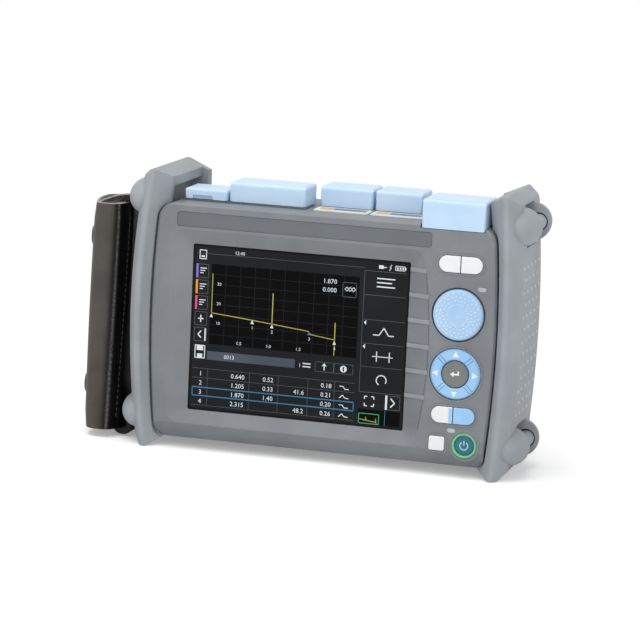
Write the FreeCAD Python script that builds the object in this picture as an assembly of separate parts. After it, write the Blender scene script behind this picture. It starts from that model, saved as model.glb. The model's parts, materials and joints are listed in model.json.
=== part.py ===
import FreeCAD, Part
import math
import os

# Hand-held optical time domain reflectometer, about 210 x 148 x 69 mm without its hand strap.
# Frame while modelling: X to the right of the screen, Y from front to back, Z up,
# X = 0 on the middle plane of the housing and Z = 0 on the ground under the bumpers.
# At the end everything moves so that the origin is the bottom centre of the whole instrument.

# Housing
bodyHalfMid = 92.8        # half width at the widest height of the barrel-shaped sides
bodyHalfTop = 89.8
bodyHalfBottom = 88.8
bodyHalfLeast = min(bodyHalfMid, bodyHalfTop, bodyHalfBottom)   # what lies inside keeps within it
bodyMidZ = 68.0
bodyBottomZ = 5.0
bodyTopZ = 131.0
bodyFrontY = -28.0
bodyBackY = 32.0
seamY = -15.0             # joint plane between front bezel and rear case
wall = 2.5
topCornerR = 9.0
bottomCornerR = 6.0
edgeBevel = 1.0
chamferRise = 9.0         # sloped strip along the lower front edge
chamferRun = 7.0
slack = 0.2               # clearance of a fixed piece in its seat
bumperSlack = 0.25        # between housing and bumpers
frontGap = 1.0            # shadow gap round the housing seen from the front

# Bumpers, set out from the housing they wrap
bumperHalf = bodyHalfMid + 12.2
bumperHeight = 148.0
bumperBackY = bodyBackY + 2.5
topTaper = bodyHalfMid - bodyHalfTop + 1.0   # how far the side moves in towards its upper end
bottomTaper = bodyHalfMid - bodyHalfBottom   # and towards its lower end
ridgeX = bodyHalfMid + 5.9
ridgeY = bodyFrontY - 8.5 # before its edge is rounded
ridgeTaperX = 0.2         # the ridge moves in this much more than the side
ridgePullY = 5.5          # how far the ridge moves back towards both ends
backPull = 2.5
innerX = bodyHalfMid - 2.8
innerY = bodyFrontY + 7.2
innerTaperX = 1.5
innerPullY = 0.7
flangeX = bodyHalfLeast - 7.8   # inner edge of the rear flange
chamferDepth = 10.5       # from ridge to flat side, along Y
sideEndY = bumperBackY - 9.5
backCorner = 8.0
hoodRidgeX = bodyHalfTop + 4.7
hoodSlope = 0.459
hoodLift = 0.3            # the rounding of the top ridge takes this off again
hoodInnerX = bodyHalfTop - 5.1
footInnerX = bodyHalfBottom + 4.2
footOuterX = footInnerX + 4.5
hoodSlotTop = bumperHeight - 9.0
hoodSlotX = bodyHalfTop + 1.0
hoodSlotFront = bodyFrontY + 10.0
hoodSlotBack = bodyBackY - 5.0

# Strap lugs
lugSink = 1.585           # lug axis inside the bumper's side
lugLift = 16.5            # height of the lower lug axis, and the upper one's distance from the top
lugR = 10.0
noseLength = 16.0
noseTipR = 7.0
lugFrontY = -12.0
lugRearY = 11.0
pocketReach = 5.5         # from the lug axis in to the pocket's floor
pocketHalf = 11.0
barReach = 3.4            # from the lug axis out to the bar
barR = 4.1

# Display
windowX0 = 16.9 - bodyHalfLeast
windowX1 = bodyHalfLeast - 43.1
windowR = 1.0
recessX0 = windowX0 - 11.1
recessX1 = windowX1 + 8.3
recessZ0 = bodyBottomZ + 9.3
recessZ1 = bodyTopZ - 13.5
windowZ0 = recessZ0 + 6.8
windowZ1 = recessZ1 - 7.6
recessR = 7.0
recessBulge = 3.9
recessDepth = 3.8
frameEdge = 0.1           # solid frame round the display ends this far past the recess
lip = 0.7                 # edge of the bezel over the glass
glassMargin = 3.0
glassThick = 1.8
lcdThick = 6.0
ribCount = 6
ribTopZ = windowZ1 - 3.4
ribPitch = 13.2
ribHeight = 2.4
ribStand = 0.7

# Name plate, blank
plateX0 = recessX0 + 2.8
plateX1 = recessX1 + 3.0
plateZ0 = recessZ1 + 1.5
plateZ1 = bodyTopZ - 4.1
plateDepth = 0.6
plateThick = 0.4
plateR = 1.5

# Keys
keyX = bodyHalfLeast - 15.9   # middle of the column of keys
pillWidth = 23.0
pillHeight = 8.6
pillSplit = 0.7
topPillZ = recessZ1 - 5.9
knobZ = topPillZ - 26.1
arrowZ = knobZ - 31.0
lowPillZ = arrowZ - 21.7
escapeX = keyX - 7.9
escapeZ = bodyBottomZ + 12.5
escapeWidth = 8.3
escapeHeight = 7.4
escapeEarHeight = 4.8     # the ears at the sides of the key are lower than the key
powerX = keyX + 6.8
powerZ = bodyBottomZ + 12.6
powerR = 5.1
powerRingR = 7.0
powerCollarR = 8.6
powerCollarDepth = 1.7    # how far the collar reaches behind the front wall
keyGap = 0.35             # clearance of a key in its aperture
keyProud = 1.1            # how far a key stands out of the front face
keyTravel = 0.5
keyFlange = 1.1
keyRim = 0.9
rimProud = 0.4
knobR = 13.25
knobProud = 2.6
knobGap = 0.95
knobFloorY = -25.4
cupWall = 1.5
shaftR = 3.0
runGap = 0.05             # running clearance of shafts and pins
arrowR = 13.3
enterR = 7.0
enterGap = 0.4
arrowFlange = 1.2
arrowFlangeY = -24.8
matFrontY = -23.5
matThick = 1.2
keyBoardThick = 1.2
lampWidth = 4.5
lampHeight = 2.3
laserLampX = keyX + 11.8
laserLampZ = topPillZ - 12.1
chargeLampX = keyX - 0.5
chargeLampZ = lowPillZ - 8.0
encoderSize = 12.0
encoderDepth = 6.0

# Inside
boardThick = 1.6
boardInset = 5.0
boardChips = {            # middle x and z, width, height and thickness
    "processor": (-50.0, 40.0, 24.0, 24.0, 1.6),
    "memory": (-10.0, 48.0, 14.0, 14.0, 1.2),
    "power_supply": (-60.0, 92.0, 30.0, 12.0, 2.5),
    "screen_driver": (30.0, 30.0, 18.0, 10.0, 1.2),
}
screwXs = (8.8 - bodyHalfLeast, recessX1 + 4.5)
screwZs = (bodyBottomZ + 5.5, bodyTopZ - 10.0)
screwR = 1.5
screwHeadR = 2.75
screwHeadThick = 2.2
wellR = 3.0
bossWall = 1.5
shoulderY = -9.0          # where the screw head sits in its well
screwBite = 6.5           # thread length in the bezel's boss
moduleX1 = bodyHalfLeast - 6.8
moduleX0 = moduleX1 - 80.0
moduleZ1 = bodyTopZ - 15.0
moduleZ0 = moduleZ1 - 46.0
moduleDepth = 18.0
finCount = 9
finPitch = 8.0
finMargin = 6.0
finGap = 3.0              # width and depth of a cooling groove

# Battery and rear side
batteryHalfX = 36.0
batteryZ1 = bodyTopZ - 16.5
batteryZ0 = batteryZ1 - 40.0
batteryDepth = 20.0
bayGap = 0.4
bayWall = 1.5
doorHalfX = 43.6
doorMargin = 2.0
doorThick = 1.8
doorSeat = 2.0
coinScrewX = 40.0
coinScrewR = 2.4
standHalfX = 42.0
standZ0 = bodyBottomZ + 5.5
standThick = 3.8
standHingeZ = batteryZ0 - 8.0
standBarrelR = 2.2
standPinR = 1.5
standGap = 0.4
standFloorGap = 0.5
bumperScrewX = flangeX + 4.5
bumperScrewZs = (bodyBottomZ + 29.0, bodyTopZ - 23.0)

# Top covers: x0, x1, front y, back y, front bottom z, top z
coverGap = 0.3
coverWall = 1.5
coverEdgeR = 1.8
coverFrontR = 2.6
coverBackR = 2.2
coverLean = 0.9           # the front leans back by this much
coverHingeR = 2.5
coverPinR = 0.75
coverZoneY = 5.0          # solid strip along the hinge
knuckleWidth = 8.0
surroundThick = 0.7
stepDrop = 2.3            # the bezel is lower under the wide right cover
stepGap = 0.4
coverSeat = bodyTopZ + coverGap
panelSeat = coverSeat + surroundThick
coverLeft = 7.3 - bodyHalfLeast      # left edge of the first cover
coverRight = bodyHalfLeast - 4.5     # right edge of the last one
covers = {
    "inlet_cover": (coverLeft, coverLeft + 23.5, -13.0, 8.0, panelSeat, bodyTopZ + 6.5),
    "data_cover": (coverLeft + 24.5, coverLeft + 66.0, -12.5, 9.5, panelSeat, bodyTopZ + 11.5),
    "test_cover_left": (coverLeft + 69.5, coverLeft + 98.0, 4.0, 26.0, coverSeat, bodyTopZ + 11.0),
    "test_cover_right": (coverLeft + 99.5, coverLeft + 125.0, 4.0, 26.0, coverSeat, bodyTopZ + 11.0),
    "meter_cover": (coverRight - 33.5, coverRight, bodyFrontY, 1.0, coverSeat - stepDrop,
                    bodyTopZ + 13.0),
}

# Sockets
portBoreR = 1.25          # takes a 2.5 mm ferrule
portBarrelR = 4.0
portFlange = 13.0
portFlangeThick = 1.6
portFlangeRim = 0.8
portRise = 8.0
portBoreDepth = 10.0
portGroove = 2.5          # depth of the ring groove round the sleeve
portSkin = 1.0
portKeyWidth = 1.8
portKeyDepth = 3.0
portY = 14.0
meterPortY = -9.5
meterPortR = 4.6
meterPortSpacing = 15.0
inletX = coverLeft + 11.8
inletY = -4.0
inletR = 4.6
inletBoreR = 2.85
inletPinR = 0.95
dataX = coverLeft + 36.5
dataWidth = 14.5
dataDepth = 7.0
miniX = coverLeft + 54.5
dataSkin = 1.0
dataTongue = 1.8
miniWidth = 9.4
miniDepth = 4.6
miniHeight = 7.0
miniSkin = 0.8
miniTongue = 0.8
socketHeight = 13.0
mouthDepth = 9.0          # of the inlet and the data socket
tongueRoot = 0.5          # a pin or tongue starts this far inside the socket's floor
tongueSink = 0.8          # and ends this far below its mouth
inletPinSink = 1.0

# Labels in front of the two test covers, left plain here
labelThick = 0.4
labelY0 = -13.5
labelY1 = 1.0
labelSpans = ((coverLeft + 70.5, coverLeft + 99.5), (coverLeft + 101.0, coverRight - 36.3))

# Strap
padX0 = bumperHalf - min(topTaper, bottomTaper, 0) + 7.0   # leaves room for a hand beside the bumper
padTopX = padX0 + 17.0
padBottomX = padX0 + 19.0
padBulge = 4.5
padY0 = -21.0
padY1 = 25.0
padZ0 = 4.0
padZ1 = bumperHeight - lugLift - 5.0
padR = 9.0
padCrownR = 30.0
padWall = 2.6
webLayer = 1.4
webWidth = 20.0
webMidY = -0.5
webGap = 0.3
webTopRise = 1.2          # height of the upper strand over the pad's rim
webGround = 0.8
studR = 5.8
studThick = 1.8
studLift = 0.12           # between the pad's face and a stud
studY = -6.0
studZs = (padZ0 + 22.5, padZ1 - 19.5)


def point(plane, u, v, level):
    if plane == "xz":
        return FreeCAD.Vector(u, level, v)
    if plane == "yz":
        return FreeCAD.Vector(level, u, v)
    return FreeCAD.Vector(u, v, level)


def roundedWire(points, radii, plane, level):
    # closed outline whose corners have the given radii; a negative radius cuts its corner straight
    count = len(points)
    edges = []
    starts = []
    ends = []
    for i in range(count):
        px, py = points[i]
        ax, ay = points[i - 1][0] - px, points[i - 1][1] - py
        bx, by = points[(i + 1) % count][0] - px, points[(i + 1) % count][1] - py
        la, lb = math.hypot(ax, ay), math.hypot(bx, by)
        ax, ay, bx, by = ax / la, ay / la, bx / lb, by / lb
        if radii[i] == 0:
            starts.append(point(plane, px, py, level))
            ends.append(point(plane, px, py, level))
            continue
        half = math.acos(max(-1.0, min(1.0, ax * bx + ay * by))) / 2
        size = abs(radii[i])
        run = size / math.tan(half)
        mx, my = ax + bx, ay + by
        lm = math.hypot(mx, my)
        reach = size / math.sin(half) - size
        first = point(plane, px + ax * run, py + ay * run, level)
        middle = point(plane, px + mx / lm * reach, py + my / lm * reach, level)
        last = point(plane, px + bx * run, py + by * run, level)
        starts.append(first)
        ends.append(last)
        edge = Part.Arc(first, middle, last).toShape()
        if radii[i] < 0:
            edge = Part.makeLine(first, last)
        edges.append((i, edge))
    arcs = dict(edges)
    ordered = []
    for i in range(count):
        if i in arcs:
            ordered.append(arcs[i])
        following = starts[(i + 1) % count]
        if ends[i].distanceToPoint(following) > 1e-6:
            ordered.append(Part.makeLine(ends[i], following))
    return Part.Wire(ordered)


def slab(points, radii, plane, low, high):
    face = Part.Face(roundedWire(points, radii, plane, low))
    return face.extrude(point(plane, 0, 0, high - low))


def box(x0, x1, y0, y1, z0, z1):
    return Part.makeBox(x1 - x0, y1 - y0, z1 - z0, FreeCAD.Vector(x0, y0, z0))


def rod(x, y, z, radius, length, axis):
    return Part.makeCylinder(radius, length, FreeCAD.Vector(x, y, z), FreeCAD.Vector(*axis))


def rodY(x, z, radius, y0, y1):
    return rod(x, y0, z, radius, y1 - y0, (0, 1, 0))


def pill(x, z, width, height, y0, y1):
    half = width / 2
    rise = height / 2
    corners = [(x - half, z - rise), (x + half, z - rise), (x + half, z + rise), (x - half, z + rise)]
    return slab(corners, [rise * 0.999] * 4, "xz", y0, y1)


def plate(x, z, width, height, radius, y0, y1):
    half = width / 2
    rise = height / 2
    corners = [(x - half, z - rise), (x + half, z - rise), (x + half, z + rise), (x - half, z + rise)]
    return slab(corners, [radius] * 4, "xz", y0, y1)


def turned(profile, radii, x, z):
    # solid of revolution about a line along Y through (x, z); profile holds (radius, y)
    face = Part.Face(roundedWire(profile, radii, "xy", 0))
    solid = face.revolve(FreeCAD.Vector(0, 0, 0), FreeCAD.Vector(0, 1, 0), 360)
    solid.translate(FreeCAD.Vector(x, 0, z))
    return solid


def upright(profile, radii, x, y):
    # solid of revolution about a vertical line through (x, y); profile holds (radius, z)
    face = Part.Face(roundedWire(profile, radii, "xz", 0))
    solid = face.revolve(FreeCAD.Vector(0, 0, 0), FreeCAD.Vector(0, 0, 1), 360)
    solid.translate(FreeCAD.Vector(x, y, 0))
    return solid


def mirrored(shape):
    return shape.mirror(FreeCAD.Vector(0, 0, 0), FreeCAD.Vector(1, 0, 0))


def bodyPrism(grow, y0, y1):
    # the housing's outline, moved out by grow, from y0 to y1
    top, bottom = bodyTopZ + grow, bodyBottomZ - grow
    topX, midX, bottomX = bodyHalfTop + grow, bodyHalfMid + grow, bodyHalfBottom + grow
    spots = ((-bottomX, bottom), (bottomX, bottom), (topX, top), (-topX, top))
    corners = [point("xz", x, z, y0) for x, z in spots]
    right, left = point("xz", midX, bodyMidZ, y0), point("xz", -midX, bodyMidZ, y0)
    outline = Part.Wire([
        Part.makeLine(corners[0], corners[1]),
        Part.Arc(corners[1], right, corners[2]).toShape(),
        Part.makeLine(corners[2], corners[3]),
        Part.Arc(corners[3], left, corners[0]).toShape(),
    ])
    prism = Part.Face(outline).extrude(FreeCAD.Vector(0, y1 - y0, 0))
    for radius, height in ((topCornerR, top), (bottomCornerR, bottom)):
        edges = [e for e in prism.Edges if isinstance(e.Curve, Part.Line)
                 and abs(e.Vertexes[0].Y - e.Vertexes[1].Y) > 1 and abs(e.Vertexes[0].Z - height) < 0.01]
        prism = prism.makeFillet(radius + grow, edges)
    return prism


def chamferTool(depth):
    # wedge in front of the sloped strip, moved in by depth
    length = math.hypot(chamferRise, chamferRun)
    dy, dz = depth * chamferRise / length, depth * chamferRun / length
    upper = (bodyFrontY + dy, bodyBottomZ + chamferRise + dz)
    lower = (bodyFrontY + chamferRun + dy, bodyBottomZ + dz)
    stretch = 3.0
    rise, run = chamferRise * stretch, chamferRun * stretch
    corners = [(upper[0] - run, upper[1] + rise), (lower[0] + run, lower[1] - rise),
               (upper[0] - run, lower[1] - rise)]
    reach = bodyHalfMid + wall
    return slab(corners, [0, 0, 0], "yz", -reach, reach)


def bulgedWire(x0, x1, z0, z1, radius, bulge, y):
    # rounded rectangle whose right side bows out by bulge
    k = radius * (1 - math.sqrt(0.5))

    def spot(x, z):
        return point("xz", x, z, y)

    def corner(first, middle, last):
        return Part.Arc(spot(*first), spot(*middle), spot(*last)).toShape()

    def side(first, last):
        return Part.makeLine(spot(*first), spot(*last))

    rightSide = side((x1, z0 + radius), (x1, z1 - radius))
    if bulge:
        rightSide = corner((x1, z0 + radius), (x1 + bulge, (z0 + z1) / 2), (x1, z1 - radius))
    return Part.Wire([
        side((x0 + radius, z0), (x1 - radius, z0)),
        corner((x1 - radius, z0), (x1 - k, z0 + k), (x1, z0 + radius)),
        rightSide,
        corner((x1, z1 - radius), (x1 - k, z1 - k), (x1 - radius, z1)),
        side((x1 - radius, z1), (x0 + radius, z1)),
        corner((x0 + radius, z1), (x0 + k, z1 - k), (x0, z1 - radius)),
        side((x0, z1 - radius), (x0, z0 + radius)),
        corner((x0, z0 + radius), (x0 + k, z0 + k), (x0 + radius, z0)),
    ])


glassY = bodyFrontY + recessDepth + lip
glassBackY = glassY + glassThick
innerFrontY = bodyFrontY + wall
keyFrontY = bodyFrontY - keyProud
keyBoardY = matFrontY + matThick
keyBoardBackY = keyBoardY + keyBoardThick
boardBackY = seamY + boardThick
keyPosts = ((keyX - 11.4, knobZ + 13.0), (keyX + 11.6, knobZ - 15.5), (keyX - 11.4, arrowZ - 13.0))
lamps = ((laserLampX, laserLampZ), (chargeLampX, chargeLampZ))
postR = 1.8


def displayRecess():
    outer = bulgedWire(recessX0, recessX1, recessZ0, recessZ1, recessR, recessBulge, bodyFrontY)
    inner = bulgedWire(windowX0, windowX1, windowZ0, windowZ1, windowR, 0, bodyFrontY + recessDepth)
    funnel = Part.makeLoft([outer, inner], True, True)
    middleX, middleZ = (windowX0 + windowX1) / 2, (windowZ0 + windowZ1) / 2
    opening = plate(middleX, middleZ, windowX1 - windowX0, windowZ1 - windowZ0, windowR,
                    bodyFrontY + recessDepth - 0.01, glassBackY)
    return funnel.fuse(opening)


def glassPlate(grow, y0, y1):
    middleX, middleZ = (windowX0 + windowX1) / 2, (windowZ0 + windowZ1) / 2
    width = windowX1 - windowX0 + 2 * (glassMargin + grow)
    height = windowZ1 - windowZ0 + 2 * (glassMargin + grow)
    return plate(middleX, middleZ, width, height, windowR + glassMargin / 2, y0, y1)


def softKeyRibs():
    # raised bars that divide the strip beside the screen into one field for each soft key
    edgeX = recessX1 + recessBulge
    ribs = []
    for i in range(ribCount):
        z = ribTopZ - i * ribPitch - ribHeight / 2
        corners = [(windowX1, bodyFrontY + recessDepth - ribStand), (edgeX, bodyFrontY), (edgeX, innerFrontY),
                   (windowX1, glassY)]
        ribs.append(slab(corners, [0, 0, 0, 0], "xy", z, z + ribHeight))
    return ribs


def keyApertures(y0, y1):
    grow = 2 * keyGap
    return [
        pill(keyX, topPillZ, pillWidth + grow, pillHeight + grow, y0, y1),
        pill(keyX, lowPillZ, pillWidth + grow, pillHeight + grow, y0, y1),
        plate(escapeX, escapeZ, escapeWidth + grow, escapeHeight + grow, 1.2, y0, y1),
        rodY(powerX, powerZ, powerRingR + slack / 2, y0, y1),
        rodY(keyX, arrowZ, arrowR + enterGap, y0, y1),
        pill(laserLampX, laserLampZ, lampWidth + slack, lampHeight + slack, y0, y1),
        pill(chargeLampX, chargeLampZ, lampWidth + slack, lampHeight + slack, y0, y1),
    ]


def keyRims():
    grow = 2 * (keyGap + keyRim)
    y0 = bodyFrontY - rimProud
    collarBack = innerFrontY + powerCollarDepth
    return [
        pill(keyX, topPillZ, pillWidth + grow, pillHeight + grow, y0, innerFrontY),
        pill(keyX, lowPillZ, pillWidth + grow, pillHeight + grow, y0, innerFrontY),
        plate(escapeX, escapeZ, escapeWidth + grow, escapeHeight + grow, 1.8, y0, innerFrontY),
        rodY(keyX, arrowZ, arrowR + enterGap + keyRim, y0, innerFrontY),
        turned([(0, keyFrontY + 0.3), (powerCollarR, keyFrontY + 0.3), (powerCollarR, collarBack),
                (0, collarBack)], [0, -0.8, 0, 0], powerX, powerZ),
    ]


def frontBezel():
    shell = bodyPrism(0, bodyFrontY, seamY).cut(chamferTool(0))
    rim = [e for e in shell.Edges if all(abs(v.Y - bodyFrontY) < 0.01 for v in e.Vertexes)
           and e.BoundBox.ZMax > bodyBottomZ + chamferRise + 1]
    shell = shell.makeChamfer(edgeBevel, rim)
    cover = covers["meter_cover"]
    stepX0, stepX1, stepZ = cover[0] - stepGap, cover[1] + stepGap, bodyTopZ - stepDrop
    step = box(stepX0, stepX1, bodyFrontY - 1, seamY + 1, stepZ, bodyTopZ + 1)
    hollow = bodyPrism(-wall, innerFrontY, seamY + 1).cut(chamferTool(wall))
    stepSkin = box(stepX0 - wall, stepX1 + wall, innerFrontY, seamY + 1, stepZ - wall, bodyTopZ)
    frame = box(recessX0 - wall, recessX1 + recessBulge + frameEdge, innerFrontY, glassBackY,
                recessZ0 - wall + 1, recessZ1 + wall - 1)
    hollow = hollow.cut(stepSkin).cut(frame)
    cup = rodY(keyX, knobZ, knobR + knobGap + cupWall, innerFrontY, knobFloorY + cupWall)
    bosses = [rodY(x, z, screwR + bossWall + 0.5, innerFrontY, seamY) for x in screwXs for z in screwZs]
    posts = [rodY(x, z, postR, innerFrontY, keyBoardY) for x, z in keyPosts]
    bezel = shell.cut(hollow).cut(step).fuse(bosses).cut([displayRecess(), chamferTool(0)])
    bezel = bezel.fuse(softKeyRibs() + keyRims() + [cup] + posts)
    cuts = keyApertures(bodyFrontY - 3, glassBackY)
    cuts.append(rodY(keyX, knobZ, knobR + knobGap, bodyFrontY - 3, knobFloorY))
    cuts.append(rodY(keyX, knobZ, shaftR + 0.4, bodyFrontY - 3, seamY))
    cuts.append(glassPlate(slack, glassY, glassBackY + 0.01))
    for x in screwXs:
        for z in screwZs:
            cuts.append(rodY(x, z, screwR, seamY - screwBite - 1, seamY + 1))
    cuts.append(nameField(0, bodyFrontY - 1, bodyFrontY + plateDepth))
    return bezel.cut(cuts)


def nameField(gap, y0, y1):
    # the name plate's outline, smaller all round by gap
    middleX, middleZ = (plateX0 + plateX1) / 2, (plateZ0 + plateZ1) / 2
    width, height = plateX1 - plateX0 - 2 * gap, plateZ1 - plateZ0 - 2 * gap
    return plate(middleX, middleZ, width, height, plateR - gap, y0, y1)


def namePlate():
    back = bodyFrontY + plateDepth
    return nameField(slack, back - plateThick, back)


coverHingeZ = bodyTopZ + coverGap + coverHingeR


def knuckle(spec):
    # hinge block that rises from the top wall into the cover's slot
    x0, x1, backY = spec[0], spec[1], spec[3]
    middle = (x0 + x1) / 2
    y = backY - coverHingeR
    half, foot = coverHingeR - slack, bodyTopZ - 0.5
    crown = coverHingeZ + half
    corners = [(y - half, foot), (y + half, foot), (y + half, crown), (y - half, crown)]
    block = slab(corners, [0, 0, half - 0.01, half - 0.01], "yz",
                 middle - knuckleWidth / 2, middle + knuckleWidth / 2)
    return block.cut(rod(x0, y, coverHingeZ, coverPinR, x1 - x0, (1, 0, 0)))


def portPlaces():
    left, right, meter = covers["test_cover_left"], covers["test_cover_right"], covers["meter_cover"]
    meterMiddle = (meter[0] + meter[1]) / 2
    return {
        "test_port_left": ((left[0] + left[1]) / 2, portY, portBarrelR),
        "test_port_right": ((right[0] + right[1]) / 2, portY, portBarrelR),
        "meter_port": (meterMiddle - meterPortSpacing / 2, meterPortY, meterPortR),
        "light_source_port": (meterMiddle + meterPortSpacing / 2, meterPortY, meterPortR),
    }


def socketHoles(grow, z0, z1):
    half, rise = dataWidth / 2 + grow, dataDepth / 2 + grow
    miniHalf, miniRise = miniWidth / 2 + grow, miniDepth / 2 + grow
    return [
        rod(inletX, inletY, z0, inletR + grow, z1 - z0, (0, 0, 1)),
        box(dataX - half, dataX + half, inletY - rise, inletY + rise, z0, z1),
        box(miniX - miniHalf, miniX + miniHalf, inletY - miniRise, inletY + miniRise, z0, z1),
    ]


def rearCase():
    shell = bodyPrism(0, seamY, bodyBackY)
    rim = [e for e in shell.Edges if all(abs(v.Y - bodyBackY) < 0.01 for v in e.Vertexes)]
    shell = shell.makeChamfer(edgeBevel, rim)
    hollow = bodyPrism(-wall, seamY - 1, bodyBackY - wall)
    standTop = standHingeZ + standBarrelR + standGap
    standFloor = bodyBackY - standThick - standFloorGap
    standSkin = box(-standHalfX - standGap - wall, standHalfX + standGap + wall, standFloor - wall, bodyBackY,
                    bodyBottomZ, standTop + wall)
    bayDepth = bodyBackY - doorSeat - batteryDepth - bayGap
    bayHalf, baySkin = batteryHalfX + bayGap, bayGap + bayWall
    bay = box(-bayHalf - bayWall, bayHalf + bayWall, bayDepth - bayWall, bodyBackY - wall,
              batteryZ0 - baySkin, batteryZ1 + baySkin)
    doorSkin = box(-doorHalfX - wall, doorHalfX + wall, bodyBackY - doorSeat - wall, bodyBackY - wall,
                   batteryZ0 - doorMargin - wall, batteryZ1 + doorMargin + wall)
    hollow = hollow.cut([standSkin, bay, doorSkin])
    wells = [rodY(x, z, wellR + bossWall, boardBackY, bodyBackY - 0.5) for x in screwXs for z in screwZs]
    sideBosses = [rodY(sign * bumperScrewX, z, screwR + bossWall, bodyBackY - 12, bodyBackY - 0.5)
                  for sign in (-1, 1) for z in bumperScrewZs]
    ears = [knuckle(spec) for spec in covers.values()]
    case = shell.cut(hollow).fuse(wells + sideBosses + ears)
    cuts = [
        box(-standHalfX - standGap, standHalfX + standGap, standFloor, bodyBackY + 1,
            standZ0 - standGap, standTop),
        box(-bayHalf, bayHalf, bayDepth, bodyBackY + 1, batteryZ0 - bayGap, batteryZ1 + bayGap),
        plate(0, (batteryZ0 + batteryZ1) / 2, 2 * doorHalfX + 2 * slack,
              batteryZ1 - batteryZ0 + 2 * doorMargin + 2 * slack, 3.0, bodyBackY - doorSeat, bodyBackY + 1),
        rod(-standHalfX - standGap - wall + 0.5, standPinY(), standHingeZ, standPinR,
            2 * (standHalfX + standGap + wall - 0.5), (1, 0, 0)),
    ]
    for sign in (-1, 1):
        cuts.append(rodY(sign * coinScrewX, (batteryZ0 + batteryZ1) / 2, screwR,
                         bodyBackY - doorSeat - wall + 0.6, bodyBackY))
        for z in bumperScrewZs:
            cuts.append(rodY(sign * bumperScrewX, z, screwR, bodyBackY - 10, bodyBackY + 1))
    for x in screwXs:
        for z in screwZs:
            cuts.append(rodY(x, z, wellR, shoulderY, bodyBackY + 1))
            cuts.append(rodY(x, z, screwR + slack, seamY - 1, bodyBackY))
    for x, y, radius in portPlaces().values():
        cuts.append(rod(x, y, bodyTopZ - wall - 1, radius + slack, wall + 2, (0, 0, 1)))
    return case.cut(cuts + socketHoles(slack, bodyTopZ - wall - 1, bodyTopZ + 1))


def standPinY():
    return bodyBackY - standThick / 2 - slack


def rearStand():
    # plate that swings out behind the instrument; a scoop at its foot takes a finger
    y0 = bodyBackY - standThick - slack / 2
    y1 = bodyBackY - slack / 2
    corners = [(-standHalfX, standZ0), (standHalfX, standZ0), (standHalfX, standHingeZ),
               (-standHalfX, standHingeZ)]
    leaf = slab(corners, [5, 5, 0, 0], "xz", y0, y1)
    barrel = rod(-standHalfX, standPinY(), standHingeZ, standBarrelR, 2 * standHalfX, (1, 0, 0))
    inset, pocketDepth, ribSpacing = 7.0, 1.4, 17.5
    pocketTop = standHingeZ - 8
    pocketFoot = standZ0 + 12
    pocket = slab([(-standHalfX + inset, pocketFoot), (standHalfX - inset, pocketFoot),
                   (standHalfX - inset, pocketTop), (-standHalfX + inset, pocketTop)], [4] * 4, "xz",
                  y1 - pocketDepth, y1 + 1)
    ribs = [box(x - 1, x + 1, y1 - pocketDepth - 0.1, y1, pocketFoot, pocketTop)
            for x in (-ribSpacing, 0, ribSpacing)]
    scoop = rodY(0, standZ0 - 3, 10.0, y0 - 1, y1 + 1)
    bores = [rod(sign * standHalfX, standPinY(), standHingeZ, standPinR + runGap, 6, (-sign, 0, 0))
             for sign in (-1, 1)]
    leaf = leaf.fuse(barrel).cut(pocket).fuse(ribs)
    return leaf.cut([scoop] + bores)


def standPins():
    reach = standHalfX + standGap + wall - 0.5
    return Part.makeCompound([
        rod(sign * reach, standPinY(), standHingeZ, standPinR, reach - standHalfX + 5.5, (-sign, 0, 0))
        for sign in (-1, 1)])


def batteryDoor():
    middle = (batteryZ0 + batteryZ1) / 2
    height = batteryZ1 - batteryZ0 + 2 * doorMargin
    y0 = bodyBackY - doorSeat
    door = plate(0, middle, 2 * doorHalfX, height, 2.8, y0, y0 + doorThick)
    grips = [box(-12, 12, y0 + doorThick - 0.5, y0 + doorThick + 1, middle + lift - 0.6, middle + lift + 0.6)
             for lift in (-6, -3, 0, 3, 6)]
    holes = [rodY(sign * coinScrewX, middle, screwR + slack, y0 - 1, y0 + 2 * doorThick) for sign in (-1, 1)]
    seats = [rodY(sign * coinScrewX, middle, coinScrewR + slack, y0 + doorThick / 2, y0 + 2 * doorThick)
             for sign in (-1, 1)]
    return door.cut(grips + holes + seats)


def coinScrews():
    middle = (batteryZ0 + batteryZ1) / 2
    y0 = bodyBackY - doorSeat
    screws = []
    for sign in (-1, 1):
        head = rodY(sign * coinScrewX, middle, coinScrewR, y0 + doorThick / 2, y0 + doorThick)
        shank = rodY(sign * coinScrewX, middle, screwR, y0 - wall + 0.6, y0 + doorThick / 2)
        slot = box(sign * coinScrewX - 2.5, sign * coinScrewX + 2.5, y0 + doorThick - 0.4, y0 + doorThick + 1,
                   middle - 0.4, middle + 0.4)
        screws.append(head.fuse(shank).cut(slot))
    return Part.makeCompound(screws)


def batteryPack():
    y1 = bodyBackY - doorSeat
    corners = [(-batteryHalfX, batteryZ0), (batteryHalfX, batteryZ0), (batteryHalfX, batteryZ1),
               (-batteryHalfX, batteryZ1)]
    return slab(corners, [3] * 4, "xz", y1 - batteryDepth, y1)


def endShare(z):
    # 0 halfway up the bumper and 1 at both of its ends
    middle = bumperHeight / 2
    return ((z - middle) / middle) ** 2


def taperAt(z):
    # how far the bumper's side stands inside its widest place
    return endShare(z) * (topTaper if z > bumperHeight / 2 else bottomTaper)


lugX = bumperHalf - taperAt(lugLift) - lugSink
barX = lugX + barReach


def bumperSection(z):
    share, taper = endShare(z), taperAt(z)
    rx, ry = ridgeX - taper - ridgeTaperX * share, ridgeY + ridgePullY * share
    side, back = bumperHalf - taper, bumperBackY - backPull * share
    points = [(innerX - taper - innerTaperX * share, innerY - innerPullY * share), (rx, ry),
              (side, ry + chamferDepth), (side, sideEndY), (side - backCorner, back), (flangeX, back)]
    return roundedWire(points, [0, 2.2, 4, 5, 3, 0], "xy", z)


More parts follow.
